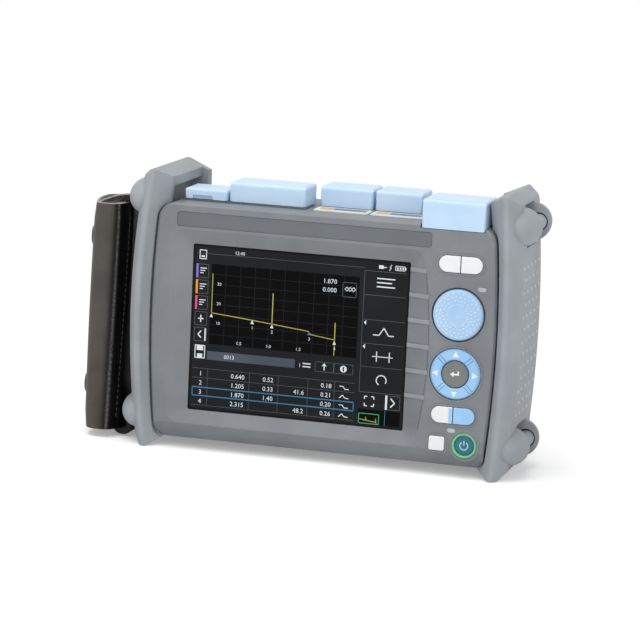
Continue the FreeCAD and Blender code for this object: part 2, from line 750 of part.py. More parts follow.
def nose(z, flatY, sign):
    # half an egg, flat towards the strap, pointing forwards or backwards;
    # its outline is a side arc and a tip arc
    tipCentre = noseLength - noseTipR
    sideR = (lugR ** 2 + tipCentre ** 2 - noseTipR ** 2) / (2 * (lugR - noseTipR))
    join = math.atan2(tipCentre, sideR - lugR)

    def sideSpot(angle):
        return point("xy", lugR - sideR + sideR * math.cos(angle), sideR * math.sin(angle), 0)

    def tipSpot(angle):
        return point("xy", noseTipR * math.cos(angle), tipCentre + noseTipR * math.sin(angle), 0)

    outline = Part.Wire([
        Part.Arc(sideSpot(0), sideSpot(join / 2), sideSpot(join)).toShape(),
        Part.Arc(tipSpot(join), tipSpot((join + math.pi / 2) / 2), tipSpot(math.pi / 2)).toShape(),
        Part.makeLine(tipSpot(math.pi / 2), point("xy", 0, 0, 0)),
        Part.makeLine(point("xy", 0, 0, 0), sideSpot(0))])
    centre = FreeCAD.Vector(0, 0, 0)
    egg = Part.Face(outline).revolve(centre, FreeCAD.Vector(0, 1, 0), 360)
    if sign < 0:
        egg = egg.mirror(centre, FreeCAD.Vector(0, 1, 0))
    egg.translate(FreeCAD.Vector(lugX, flatY, z))
    return egg


def lugHeights():
    return (lugLift, bumperHeight - lugLift)


def bumperRight():
    heights = [-4, bumperHeight * 0.25, bumperHeight * 0.5, bumperHeight * 0.75, bumperHeight + 4]
    shell = Part.makeLoft([bumperSection(z) for z in heights], True, False)
    edge = flangeX - 3
    top = bumperHeight + hoodLift
    outer = bumperHalf - min(topTaper, bottomTaper, 0) + 1.5
    front = slab([(edge, top - (hoodRidgeX - edge) * hoodSlope), (hoodRidgeX, top),
                  (hoodRidgeX + 6, bumperHeight - 4), (outer, bumperHeight - 20), (outer, 18),
                  (footOuterX + 4, 5), (footOuterX, 0), (footInnerX, 0), (edge, 10)],
                 [0, 2, 5, 10, 10, 5, 1.5, 1.5, 0], "xz", ridgeY - 5, bumperBackY + 5)
    bumper = shell.common(front)
    slotFloor = min(bodyTopZ, hoodSlotTop) - 6
    bumper = bumper.cut([
        bodyPrism(bumperSlack, ridgeY - 5, bodyBackY + bumperSlack),
        bodyPrism(frontGap, ridgeY - 5, bodyFrontY + 6),
        box(flangeX - 12, hoodSlotX, hoodSlotFront, hoodSlotBack, slotFloor, hoodSlotTop),
        box(flangeX - 12, hoodInnerX, ridgeY - 5, hoodSlotBack, bodyTopZ - 6, top + 5),
    ])
    for z in lugHeights():
        floor = lugX - pocketReach
        below, above, beyond = z - pocketHalf, z + pocketHalf, outer + lugR
        pocket = slab([(floor, below), (beyond, below), (beyond, above), (floor, above)], [3, 0, 0, 3],
                      "xz", lugFrontY, lugRearY)
        bar = rodY(barX, z, barR, lugFrontY - 0.5, lugRearY + 0.5)
        bumper = bumper.cut(pocket).fuse([nose(z, lugFrontY, -1), nose(z, lugRearY, 1), bar])
    bumper = bumper.cut(bodyPrism(bumperSlack, ridgeY - 5, bodyBackY + bumperSlack))
    holes = [rodY(bumperScrewX, z, screwR + slack, bodyBackY, bumperBackY + 1) for z in bumperScrewZs]
    seats = [rodY(bumperScrewX, z, screwHeadR + slack, bodyBackY + 1, bumperBackY + 1) for z in bumperScrewZs]
    return bumper.cut(holes + seats)


def bumperScrews():
    screws = []
    for sign in (-1, 1):
        for z in bumperScrewZs:
            head = rodY(sign * bumperScrewX, z, screwHeadR, bodyBackY + 1, bodyBackY + 2)
            shank = rodY(sign * bumperScrewX, z, screwR, bodyBackY - 9, bodyBackY + 1)
            screws.append(head.fuse(shank))
    return Part.makeCompound(screws)


def caseScrews():
    screws = []
    for x in screwXs:
        for z in screwZs:
            head = rodY(x, z, screwHeadR, shoulderY, shoulderY + screwHeadThick)
            shank = rodY(x, z, screwR, seamY - screwBite, shoulderY)
            screws.append(head.fuse(shank))
    return Part.makeCompound(screws)


def pillHalves(z):
    # two keys that share one rounded aperture
    cap = pill(keyX, z, pillWidth, pillHeight, keyFrontY, innerFrontY + slack)
    front = [e for e in cap.Edges if all(abs(v.Y - keyFrontY) < 0.01 for v in e.Vertexes)]
    cap = cap.makeChamfer(0.4, front)
    flange = pill(keyX, z, pillWidth + 2 * (keyGap + keyFlange), pillHeight + 2 * (keyGap + keyFlange),
                  innerFrontY + slack, innerFrontY + slack + 1)
    whole = cap.fuse(flange)
    far = pillWidth
    left = whole.common(box(keyX - far, keyX - pillSplit / 2, keyFrontY - 1, matFrontY, z - far, z + far))
    right = whole.common(box(keyX + pillSplit / 2, keyX + far, keyFrontY - 1, matFrontY, z - far, z + far))
    return left, right


def escapeKey():
    cap = plate(escapeX, escapeZ, escapeWidth, escapeHeight, 1.0, keyFrontY, innerFrontY + slack)
    front = [e for e in cap.Edges if all(abs(v.Y - keyFrontY) < 0.01 for v in e.Vertexes)]
    cap = cap.makeChamfer(0.4, front)
    grow = 2 * (keyGap + keyFlange)
    return cap.fuse(plate(escapeX, escapeZ, escapeWidth + grow, escapeEarHeight, 1.5,
                          innerFrontY + slack, innerFrontY + slack + 1))


def powerKey():
    y1 = innerFrontY + slack + 1
    foot = powerR + keyFlange
    return turned([(0, keyFrontY), (powerR, keyFrontY), (powerR, y1 - 0.9), (foot, y1 - 0.9), (foot, y1),
                   (0, y1)], [0, -0.6, 0, 0, 0, 0], powerX, powerZ)


def powerRing():
    inner = powerR + keyGap - 0.1
    back = innerFrontY - 0.1
    return turned([(inner, keyFrontY), (powerRingR, keyFrontY), (powerRingR, back), (inner, back)],
                  [-0.3, -0.6, 0, 0], powerX, powerZ)


def arrowRing():
    inner = enterR + enterGap
    shoulder = enterR + keyFlange + enterGap + 0.7
    return turned([(inner, keyFrontY), (arrowR, keyFrontY + 0.2), (arrowR, arrowFlangeY),
                   (arrowR + arrowFlange, arrowFlangeY), (arrowR + arrowFlange, arrowFlangeY + 0.9),
                   (shoulder, arrowFlangeY + 0.9), (shoulder, innerFrontY - 0.8), (inner, innerFrontY - 0.8)],
                  [-0.6, -1.2, 0, 0, 0, 0, 0, 0], keyX, arrowZ)


def enterKey():
    y0 = innerFrontY
    foot = enterR + keyFlange
    return turned([(0, keyFrontY + 0.2), (enterR, keyFrontY + 0.2), (enterR, y0), (foot, y0), (foot, y0 + 1),
                   (0, y0 + 1)], [0, -0.6, 0, 0, 0, 0], keyX, arrowZ)


def knob():
    frontY = bodyFrontY - knobProud
    backY = knobFloorY - 1.1
    profile = [(0, frontY), (knobR, frontY + 0.5), (knobR, backY), (0, backY)]
    body = turned(profile, [0, 1.8, -0.3, 0], keyX, knobZ)
    bore = rodY(keyX, knobZ, shaftR + runGap, frontY + 1.5, backY + 1)
    relief = turned([(shaftR + 2.5, backY - 1.2), (knobR - 2.5, backY - 1.2), (knobR - 2.5, backY + 1),
                     (shaftR + 2.5, backY + 1)], [0, 0, 0, 0], keyX, knobZ)
    return body.cut([bore, relief])


def knobShaft():
    tail = keyBoardBackY + encoderDepth - keyTravel - 1.2
    return rodY(keyX, knobZ, shaftR, bodyFrontY - knobProud + 1.6, tail)


def encoder():
    half = encoderSize / 2
    back = keyBoardBackY + encoderDepth
    body = box(keyX - half, keyX + half, keyBoardBackY, back, knobZ - half, knobZ + half)
    return body.cut(rodY(keyX, knobZ, shaftR + runGap, keyBoardBackY - 1, back - 1))


def keyPanelOutline():
    x0, x1 = recessX1 + recessBulge + 1.2, bodyHalfLeast - wall - 0.5
    z0, z1 = bodyBottomZ + 3 * wall + 0.2, topPillZ + pillHeight / 2 + 2.5
    return [(x0, z0), (x1, z0), (x1, z1), (x0, z1)]


def keyMat():
    sheet = slab(keyPanelOutline(), [2] * 4, "xz", matFrontY, keyBoardY)
    cuts = [rodY(keyX, knobZ, shaftR + 0.5, matFrontY - 1, keyBoardY + 1)]
    cuts += [rodY(x, z, postR + 0.5, matFrontY - 1, keyBoardY + 1) for x, z in keyPosts]
    cuts += [pill(x, z, lampWidth + 1, lampHeight + 1, matFrontY - 1, keyBoardY + 1) for x, z in lamps]
    for x in screwXs:
        for z in screwZs:
            cuts.append(rodY(x, z, screwR + bossWall + 1, matFrontY - 1, keyBoardY + 1))
    return sheet.cut(cuts)


def keyBoard():
    sheet = slab(keyPanelOutline(), [2] * 4, "xz", keyBoardY, keyBoardBackY)
    cuts = [rodY(keyX, knobZ, shaftR + 0.5, keyBoardY - 1, keyBoardBackY + 1)]
    for x in screwXs:
        for z in screwZs:
            cuts.append(rodY(x, z, screwR + bossWall + 1, keyBoardY - 1, keyBoardBackY + 1))
    return sheet.cut(cuts)


def lamp(x, z):
    return pill(x, z, lampWidth, lampHeight, bodyFrontY - 0.15, keyBoardY)


def mainBoard():
    half, low, high = bodyHalfLeast - boardInset, bodyBottomZ + boardInset + 1, bodyTopZ - boardInset - 1
    corners = [(-half, low), (half, low), (half, high), (-half, high)]
    board = slab(corners, [4] * 4, "xz", seamY, boardBackY)
    holes = [rodY(x, z, screwR + slack, seamY - 1, boardBackY + 1) for x in screwXs for z in screwZs]
    parts = [box(x - w / 2, x + w / 2, boardBackY, boardBackY + t, z - h / 2, z + h / 2)
             for x, z, w, h, t in boardChips.values()]
    return board.fuse(parts).cut(holes)


def opticalModule():
    corners = [(moduleX0, moduleZ0), (moduleX1, moduleZ0), (moduleX1, moduleZ1), (moduleX0, moduleZ1)]
    block = slab(corners, [2] * 4, "xz", boardBackY, boardBackY + moduleDepth)
    grooves = []
    for i in range(finCount):
        x = moduleX0 + finMargin + i * finPitch
        grooves.append(box(x, x + finGap, boardBackY + moduleDepth - finGap, boardBackY + moduleDepth + 1,
                           moduleZ0 - 1, moduleZ1 + 1))
    return block.cut(grooves)


def cover(spec):
    # hollow lid on a rear hinge; its end walls and hinge strip close over the sockets
    x0, x1, y0, y1, z0, z1 = spec
    low = bodyTopZ + coverGap
    hingeY = y1 - coverHingeR
    points = [(y0, z0), (y0 + coverLean, z1), (y1, z1), (y1, low)]
    radii = [0, min(coverFrontR, (z1 - z0) / 3), coverBackR, coverHingeR]
    if z0 > low:
        notch = y1 - coverZoneY + coverGap
        points += [(notch, low), (notch, z0)]
        radii += [0, 0]
    if z0 < low:
        notch = seamY - coverGap
        points += [(notch, low), (notch, z0)]
        radii += [0, 0]
    lid = slab(points, radii, "yz", x0, x1)
    base = min(z0, low)
    frontView = slab([(x0, base), (x1, base), (x1, z1), (x0, z1)], [0, 0, coverEdgeR, coverEdgeR],
                     "xz", y0, y1)
    topView = slab([(x0, y0), (x1, y0), (x1, y1), (x0, y1)], [coverEdgeR, coverEdgeR, 1, 1],
                   "xy", base, z1)
    lid = lid.common(frontView).common(topView)
    front, strip, roof = y0 + coverWall + 0.6, y1 - coverZoneY, z1 - coverWall
    inside = [(front, base - 1), (hingeY, base - 1), (hingeY, low), (strip, low), (strip, roof),
              (front, roof)]
    lid = lid.cut(slab(inside, [0, 0, 0, coverHingeR - 0.01, 0, 0], "yz", x0 + coverWall, x1 - coverWall))
    middle = (x0 + x1) / 2
    slotHalf = knuckleWidth / 2 + coverGap
    slot = box(middle - slotHalf, middle + slotHalf, strip - 0.01, y1 + 1,
               low - 1, coverHingeZ + coverHingeR + coverGap)
    bore = rod(x0 - 1, hingeY, coverHingeZ, coverPinR + runGap, x1 - x0 + 2, (1, 0, 0))
    return lid.cut([slot, bore])


def inletCover():
    # the low cover has a finger notch in its front
    spec = covers["inlet_cover"]
    x0, y0, z0 = spec[0], spec[2], spec[4]
    notch = slab([(x0 + 4.5, z0 - 1), (x0 + 15.5, z0 - 1), (x0 + 15.5, z0 + 2.0), (x0 + 4.5, z0 + 2.0)],
                 [0, 0, 0.8, 0.8], "xz", y0 - 1, y0 + 1.2)
    return cover(spec).cut(notch)


def coverPins():
    pins = []
    for spec in covers.values():
        x0, x1, backY = spec[0], spec[1], spec[3]
        pins.append(rod(x0 + 0.5, backY - coverHingeR, coverHingeZ, coverPinR, x1 - x0 - 1, (1, 0, 0)))
    return Part.makeCompound(pins)


def surround():
    # thin dark panel under the two left covers
    left, right = covers["inlet_cover"], covers["data_cover"]
    y0, y1 = left[2] - 1.2, left[3] - coverZoneY - coverGap
    corners = [(left[0] - 0.8, y0), (right[1] + 0.8, y0), (right[1] + 0.8, y1), (left[0] - 0.8, y1)]
    sheet = slab(corners, [1.5, 1.5, 0.5, 0.5], "xy", bodyTopZ, bodyTopZ + surroundThick)
    return sheet.cut(socketHoles(slack, bodyTopZ - 1, bodyTopZ + 2))


def opticalPort(x, y, radius):
    # ferrule adapter: flange under the top wall, barrel above it, sleeve bore through the middle
    ceiling = bodyTopZ - wall
    foot = ceiling - portFlangeThick
    top = bodyTopZ + portRise
    depth = radius + portFlangeRim
    flange = box(x - portFlange / 2, x + portFlange / 2, y - depth, y + depth, foot, ceiling)
    barrel = rod(x, y, foot, radius, top - foot, (0, 0, 1))
    sleeve, shell, low = portBoreR + portSkin, radius - portSkin, top - portGroove
    groove = upright([(sleeve, low), (shell, low), (shell, top + 1), (sleeve, top + 1)], [0, 0, 0, 0], x, y)
    half = portKeyWidth / 2
    key = box(x - half, x + half, y - radius - 1, y - radius + portSkin, top - portKeyDepth, top + 1)
    bore = rod(x, y, top - portBoreDepth, portBoreR, portBoreDepth + 1, (0, 0, 1))
    return flange.fuse(barrel).cut([groove, key, bore])


def inletSocket():
    top = bodyTopZ + surroundThick
    body = rod(inletX, inletY, top - socketHeight, inletR, socketHeight, (0, 0, 1))
    bore = rod(inletX, inletY, top - mouthDepth, inletBoreR, mouthDepth + 1, (0, 0, 1))
    root = top - mouthDepth - tongueRoot
    pin = rod(inletX, inletY, root, inletPinR, top - inletPinSink - root, (0, 0, 1))
    return body.cut(bore).fuse(pin)


def dataSocket():
    top = bodyTopZ + surroundThick
    half, rise = dataWidth / 2, dataDepth / 2
    body = box(dataX - half, dataX + half, inletY - rise, inletY + rise, top - socketHeight, top)
    mouth = box(dataX - half + dataSkin, dataX + half - dataSkin, inletY - rise + dataSkin,
                inletY + rise - dataSkin, top - mouthDepth, top + 1)
    tongueHalf = half - 2 * dataSkin
    tongue = box(dataX - tongueHalf, dataX + tongueHalf, inletY, inletY + dataTongue,
                 top - mouthDepth - tongueRoot, top - tongueSink)
    return body.cut(mouth).fuse(tongue)


def miniSocket():
    top = bodyTopZ + surroundThick
    half, rise = miniWidth / 2, miniDepth / 2
    body = box(miniX - half, miniX + half, inletY - rise, inletY + rise, top - miniHeight, top)
    x0, x1 = miniX - half + miniSkin, miniX + half - miniSkin
    y0, y1 = inletY - rise + miniSkin, inletY + rise - miniSkin
    floor = top - miniHeight + 2.0
    mouth = slab([(x0, y0), (x1, y0), (x1, y1), (x0, y1)], [0.8, 0.8, 0.3, 0.3], "xy", floor, top + 1)
    tongue = box(x0 + 1.4, x1 - 1.4, inletY - miniTongue / 2, inletY + miniTongue / 2,
                 floor - tongueRoot, top - tongueSink)
    return body.cut(mouth).fuse(tongue)


def labels():
    plates = []
    for x0, x1 in labelSpans:
        plates.append(slab([(x0, labelY0), (x1, labelY0), (x1, labelY1), (x0, labelY1)], [2] * 4, "xy",
                           bodyTopZ, bodyTopZ + labelThick))
    return Part.makeCompound(plates)


def padSection(z, grow):
    share = (padZ1 - z) / (padZ1 - padZ0)
    x1 = padTopX + (padBottomX - padTopX) * share
    points = [(padX0 - grow, padY0 - grow), (x1 + grow, padY0 - grow),
              (x1 + padBulge + grow, (padY0 + padY1) / 2),
              (x1 + grow, padY1 + grow), (padX0 - grow, padY1 + grow)]
    corner, crown = padR + grow, padCrownR + grow
    return roundedWire(points, [corner, corner, crown, corner, corner], "xy", z)


def handPad():
    # padded sleeve round the webbing, a little wider at the bottom
    outer = Part.makeLoft([padSection(padZ0, 0), padSection(padZ1, 0)], True, True)
    inner = Part.makeLoft([padSection(padZ0 - 1, -padWall), padSection(padZ1 + 1, -padWall)], True, True)
    return mirrored(outer.cut(inner))


def webbing():
    # doubled strap from the upper bar, down inside the pad and under its rim to the lower bar
    low, high = lugHeights()
    thick = 2 * webLayer
    x0 = padX0 + padWall + webGap
    x1 = x0 + thick
    z0, z1 = webGround, padZ1 + webTopRise
    dropX = barX + barR + webGap + webLayer - thick
    outline = [(barX, z1 + thick), (x1, z1 + thick), (x1, z0), (dropX, z0), (dropX, low),
               (dropX + thick, low), (dropX + thick, z0 + thick), (x0, z0 + thick), (x0, z1), (barX, z1)]
    radii = [0, 5, 5, 4, 0, 0, 1.2, 1.2, 2, 0]
    y0, y1 = webMidY - webWidth / 2, webMidY + webWidth / 2
    strap = slab(outline, radii, "xz", y0, y1)
    eyes = [rodY(barX, z, barR + webGap + webLayer, y0, y1) for z in (low, high)]
    holes = [rodY(barX, z, barR + webGap, y0 - 1, y1 + 1) for z in (low, high)]
    return mirrored(strap.fuse(eyes).cut(holes))


def studs():
    # snap fasteners that close the pad's flap
    tilt = math.atan2(padBulge, (padY1 - padY0) / 2)
    caps = []
    for z in studZs:
        share = (padZ1 - z) / (padZ1 - padZ0)
        x = padTopX + (padBottomX - padTopX) * share + (studY - padY0) * math.tan(tilt)
        profile = [(0, 0), (studR, 0), (studR, studThick), (0, studThick)]
        face = Part.Face(roundedWire(profile, [0, 0, -1.0, 0], "xz", 0))
        cap = face.revolve(FreeCAD.Vector(0, 0, 0), FreeCAD.Vector(0, 0, 1), 360)
        cap.rotate(FreeCAD.Vector(0, 0, 0), FreeCAD.Vector(0, 1, 0), 90)
        cap.rotate(FreeCAD.Vector(0, 0, 0), FreeCAD.Vector(0, 0, 1), -math.degrees(tilt))
        cap.translate(FreeCAD.Vector(x + studLift, studY, z))
        caps.append(mirrored(cap))
    return Part.makeCompound(caps)


def buildParts():
    topLeft, topRight = pillHalves(topPillZ)
    lowLeft, lowRight = pillHalves(lowPillZ)
    rightBumper = bumperRight()
    parts = {
        "front_bezel": frontBezel(),
        "rear_case": rearCase(),
        "name_plate": namePlate(),
        "display_glass": glassPlate(0, glassY, glassBackY),
        "lcd_module": glassPlate(-0.8, glassBackY, glassBackY + lcdThick),
        "main_board": mainBoard(),
        "optical_module": opticalModule(),
        "case_screws": caseScrews(),
        "battery_pack": batteryPack(),
        "battery_door": batteryDoor(),
        "battery_screws": coinScrews(),
        "rear_stand": rearStand(),
        "stand_pins": standPins(),
        "bumper_right": rightBumper,
        "bumper_left": mirrored(rightBumper),
        "bumper_screws": bumperScrews(),
        "key_top_left": topLeft,
        "key_top_right": topRight,
        "key_low_left": lowLeft,
        "key_low_right": lowRight,
        "key_escape": escapeKey(),
        "power_key": powerKey(),
        "power_ring": powerRing(),
        "arrow_ring": arrowRing(),
        "enter_key": enterKey(),
        "knob": knob(),
        "knob_shaft": knobShaft(),
        "encoder": encoder(),
        "key_mat": keyMat(),
        "key_board": keyBoard(),
        "laser_lamp": lamp(laserLampX, laserLampZ),
        "charge_lamp": lamp(chargeLampX, chargeLampZ),
        "socket_surround": surround(),
        "inlet_socket": inletSocket(),
        "data_socket": dataSocket(),
        "mini_socket": miniSocket(),
        "inlet_cover": inletCover(),
        "cover_pins": coverPins(),
        "label_plates": labels(),
        "strap_webbing": webbing(),
        "hand_pad": handPad(),
        "snap_studs": studs(),
    }
    for name, spec in covers.items():
        if name != "inlet_cover":
            parts[name] = cover(spec)
    for name, place in portPlaces().items():
        parts[name] = opticalPort(*place)
    return parts


def main():
    os.makedirs("parts", exist_ok=True)
    parts = buildParts()
    left = min(parts[name].optimalBoundingBox(False, False).XMin for name in ("snap_studs", "hand_pad"))
    right = parts["bumper_right"].optimalBoundingBox(False, False)
    shift = FreeCAD.Vector(-(left + right.XMax) / 2, -(right.YMin + right.YMax) / 2, -right.ZMin)
    for name, shape in parts.items():
        shape.translate(shift)
        shape.exportStep("parts/" + name + ".step")
    print("nodes", len(parts), "shift", shift, "size", right.XMax - left, right.YLength, right.ZLength)


main()
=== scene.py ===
import json
import math

import bmesh
import bpy
from mathutils import Matrix, Vector


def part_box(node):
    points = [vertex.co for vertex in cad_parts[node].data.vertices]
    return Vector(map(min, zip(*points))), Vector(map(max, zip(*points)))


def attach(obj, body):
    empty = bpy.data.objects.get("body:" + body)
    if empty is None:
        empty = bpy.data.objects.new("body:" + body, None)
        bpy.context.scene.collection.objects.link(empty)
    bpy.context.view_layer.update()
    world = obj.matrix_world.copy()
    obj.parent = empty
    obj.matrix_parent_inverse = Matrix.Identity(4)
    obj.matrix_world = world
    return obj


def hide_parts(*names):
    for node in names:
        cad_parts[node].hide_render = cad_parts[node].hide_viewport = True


# Handheld optical time domain reflectometer with a hand strap:
# finishes, screen picture, key marks, grip dots, label ink, leather sleeve and studio

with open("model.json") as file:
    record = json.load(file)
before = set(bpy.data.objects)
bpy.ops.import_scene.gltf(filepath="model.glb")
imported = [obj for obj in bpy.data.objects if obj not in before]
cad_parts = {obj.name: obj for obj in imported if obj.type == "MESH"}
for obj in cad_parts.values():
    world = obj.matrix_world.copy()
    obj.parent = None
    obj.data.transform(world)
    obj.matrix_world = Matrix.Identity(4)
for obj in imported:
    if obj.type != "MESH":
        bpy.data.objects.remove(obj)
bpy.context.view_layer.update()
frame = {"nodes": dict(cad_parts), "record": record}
root = "instrument"
mm = 0.001
right, back, up = Vector((1, 0, 0)), Vector((0, 1, 0)), Vector((0, 0, 1))


def linear(hexColour):
    # sRGB hex to the linear colour that the shaders work in
    parts = [int(hexColour[i:i + 2], 16) / 255 for i in (1, 3, 5)]
    return [c / 12.92 if c <= 0.04045 else ((c + 0.055) / 1.055) ** 2.4 for c in parts] + [1.0]


def between(first, last, share):
    return first + (last - first) * share


def addNode(tree, kind, links=None, **settings):
    # one shader node; links holds sockets of other nodes or plain numbers, and settings go to its own sockets
    # or properties
    node = tree.nodes.new("ShaderNode" + kind)
    for name, value in settings.items():
        label = name.replace("_", " ")
        if label in node.inputs:
            node.inputs[label].default_value = value
        else:
            setattr(node, name, value)
    for name, source in (links or {}).items():
        if isinstance(source, float):
            node.inputs[name].default_value = source
        else:
            tree.links.new(source, node.inputs[name])
    return node


def newTree(name):
    # a material, its emptied node tree and the place on the piece that its patterns start from
    material = bpy.data.materials.new(name)
    material.use_nodes = True
    tree = material.node_tree
    tree.nodes.clear()
    return material, tree, addNode(tree, "TexCoord").outputs["Object"]


def finished(material, shader):
    addNode(material.node_tree, "OutputMaterial", {"Surface": shader.outputs[0]})
    return material


def tones(tree, value, dark, light, low=0.35, high=0.65):
    # two close tones of one colour, mixed by a pattern
    ramp = addNode(tree, "ValToRGB", {"Fac": value})
    ramp.color_ramp.elements[0].position = low
    ramp.color_ramp.elements[0].color = linear(dark)
    ramp.color_ramp.elements[1].position = high
    ramp.color_ramp.elements[1].color = linear(light)
    return ramp.outputs["Color"]


def moulded(name, dark, light, roughness, grainSize=0.35, grainDepth=0.02, patchSize=22, **shader):
    # moulded plastic or rubber: spark-eroded grain from the mould, two close tones where resin flowed
    # and handling polished it, and a roughness that drifts with them
    material, tree, where = newTree(name)
    patches = addNode(tree, "TexNoise", {"Vector": where}, Scale=1 / (patchSize * mm), Detail=3.0)
    grain = addNode(tree, "TexNoise", {"Vector": where}, Scale=1 / (grainSize * mm), Detail=2.0)
    drift = addNode(tree, "MapRange", {"Value": patches.outputs["Fac"]},
                    To_Min=roughness - 0.05, To_Max=roughness + 0.05)
    bump = addNode(tree, "Bump", {"Height": grain.outputs["Fac"]}, Strength=0.35, Distance=grainDepth * mm)
    surface = addNode(tree, "BsdfPrincipled", {
        "Base Color": tones(tree, patches.outputs["Fac"], dark, light),
        "Roughness": drift.outputs["Result"], "Normal": bump.outputs["Normal"]}, **shader)
    return finished(material, surface)


def metal(name, dark, light, roughness, brushSize=0.25, stretch=14):
    # turned or drawn metal: fine lines round the part and a slightly uneven tone
    material, tree, where = newTree(name)
    squeezed = addNode(tree, "Mapping", {"Vector": where}, Scale=(1, 1, stretch))
    lines = addNode(tree, "TexNoise", {"Vector": squeezed.outputs["Vector"]},
                    Scale=1 / (brushSize * stretch * mm), Detail=4.0)
    drift = addNode(tree, "MapRange", {"Value": lines.outputs["Fac"]},
                    To_Min=roughness - 0.08, To_Max=roughness + 0.08)
    bump = addNode(tree, "Bump", {"Height": lines.outputs["Fac"]}, Strength=0.2, Distance=0.01 * mm)
    surface = addNode(tree, "BsdfPrincipled", {
        "Base Color": tones(tree, lines.outputs["Fac"], dark, light),
        "Roughness": drift.outputs["Result"], "Normal": bump.outputs["Normal"]}, Metallic=1.0)
    return finished(material, surface)


def leather(name, dark, light, sheenDark, sheenLight, highlightTone, gloss):
    # pebbled chrome-tanned leather: grain cells about 1.1 mm, drawn coarser than real to show, with a waxy
    # sheen;
    # two mesh attributes paint light onto it: one mixes in a taupe painted sheen where the leather faces the
    # light, the other a painted highlight that lights the grain tops
    material, tree, where = newTree(name)
    cells = addNode(tree, "TexVoronoi", {"Vector": where}, Scale=1 / (1.1 * mm))
    pores = addNode(tree, "TexNoise", {"Vector": where}, Scale=1 / (0.5 * mm), Detail=3.0)
    creases = addNode(tree, "TexNoise", {"Vector": where}, Scale=1 / (14 * mm), Detail=4.0)
    both = addNode(tree, "Math", {0: cells.outputs["Distance"], 1: pores.outputs["Fac"]}, operation="ADD")
    small = addNode(tree, "Bump", {"Height": both.outputs[0]}, Strength=0.45, Distance=0.12 * mm)
    large = addNode(tree, "Bump", {"Height": creases.outputs["Fac"], "Normal": small.outputs["Normal"]},
                    Strength=0.3, Distance=0.9 * mm)
    drift = addNode(tree, "MapRange", {"Value": creases.outputs["Fac"]}, To_Min=0.4, To_Max=0.55)
    fade = addNode(tree, "Attribute", attribute_name="fade")
    polish = addNode(tree, "Attribute", attribute_name="polish")
    tops = addNode(tree, "Math", {0: polish.outputs["Fac"], 1: pores.outputs["Fac"]}, operation="MULTIPLY")
    # painted sheen: the taupe tones replace the black where the mesh asks for it
    baseAndSheen = addNode(tree, "Mix", {
        0: fade.outputs["Fac"], 6: tones(tree, creases.outputs["Fac"], dark, light),
        7: tones(tree, creases.outputs["Fac"], sheenDark, sheenLight)}, data_type="RGBA")
    # painted highlight: grain tops lightened along the streak
    colour = addNode(tree, "Mix", {0: tops.outputs[0], 6: baseAndSheen.outputs[2],
                                   7: tones(tree, pores.outputs["Fac"], light, highlightTone)}, data_type="RGBA")
    surface = addNode(tree, "BsdfPrincipled", {
        "Base Color": colour.outputs[2], "Roughness": drift.outputs["Result"],
        "Normal": large.outputs["Normal"]}, Specular_IOR_Level=gloss)
    return finished(material, surface)


def napped(name, dark, light, fibre=0.25, clump=2.2):
    # suede, cut edges and spun thread: short fibres scatter the light, no highlight
    material, tree, where = newTree(name)
    fibres = addNode(tree, "TexNoise", {"Vector": where}, Scale=1 / (fibre * mm), Detail=5.0)
    clumps = addNode(tree, "TexNoise", {"Vector": where}, Scale=1 / (clump * mm), Detail=3.0)
    mixed = addNode(tree, "Math", {0: fibres.outputs["Fac"], 1: clumps.outputs["Fac"]}, operation="ADD")
    half = addNode(tree, "Math", {0: mixed.outputs[0], 1: 0.5}, operation="MULTIPLY")
    bump = addNode(tree, "Bump", {"Height": half.outputs[0]}, Strength=0.6, Distance=0.15 * mm)
    surface = addNode(tree, "BsdfPrincipled", {
        "Base Color": tones(tree, half.outputs[0], dark, light), "Normal": bump.outputs["Normal"]},
        Roughness=0.92, Sheen_Weight=0.5, Sheen_Roughness=0.6)
    return finished(material, surface)


def woven(name, dark, light, thread=0.9):
    # plain-weave nylon webbing: threads over and under, each with a soft round highlight
    material, tree, where = newTree(name)
    across, along = (addNode(tree, "TexWave", {"Vector": where}, bands_direction=direction,
                             Scale=math.pi / (10 * thread * mm), Distortion=0.2) for direction in "YZ")
    weave = addNode(tree, "Math", {0: across.outputs["Fac"], 1: along.outputs["Fac"]}, operation="MULTIPLY")
    bump = addNode(tree, "Bump", {"Height": weave.outputs[0]}, Strength=0.7, Distance=0.25 * mm)
    surface = addNode(tree, "BsdfPrincipled", {
        "Base Color": tones(tree, weave.outputs[0], dark, light, 0.1, 0.8), "Normal": bump.outputs["Normal"]},
        Roughness=0.75, Sheen_Weight=0.1, Sheen_Roughness=0.5)
    return finished(material, surface)


def lit(name, dark, light, glow):
    # what the display shows: a backlit picture behind anti-reflection glass, so it glows and hardly mirrors
    material, tree, where = newTree(name)
    backlight = addNode(tree, "TexNoise", {"Vector": where}, Scale=1 / (40 * mm), Detail=1.0)
    colour = tones(tree, backlight.outputs["Fac"], dark, light)
    surface = addNode(tree, "BsdfPrincipled", {"Base Color": colour, "Emission Color": colour},
                      Roughness=0.25, Emission_Strength=glow, Specular_IOR_Level=0.06)
    return finished(material, surface)


# housing: moulded ABS with a fine satin grain, so its highlights are soft and broad
absGrey = moulded("absHousingGrey", "#7b7f83", "#85898d", 0.5)
absRear = moulded("absRearGrey", "#777b7f", "#818589", 0.52)
absPlate = moulded("absNamePlateGrey", "#676c71", "#6d7277", 0.45, grainSize=0.25)   # smoother than the bezel
absRibHighlight = moulded("absRibGrey", "#8d9195", "#969a9e", 0.45, grainSize=0.25)     # painted highlight: lighter where the rib tops catch the overhead light
absField = moulded("absFieldGrey", "#767a7e", "#7e8286", 0.5)
absStepShadeAndPanel = moulded("absStepGrey", "#5c6064", "#63676b", 0.55, grainSize=0.25)   # darker grey: painted shade on the step beside the soft-key fields, and the socket surround panel
darkPlastic = moulded("absBlack", "#1c1d1f", "#242527", 0.5)
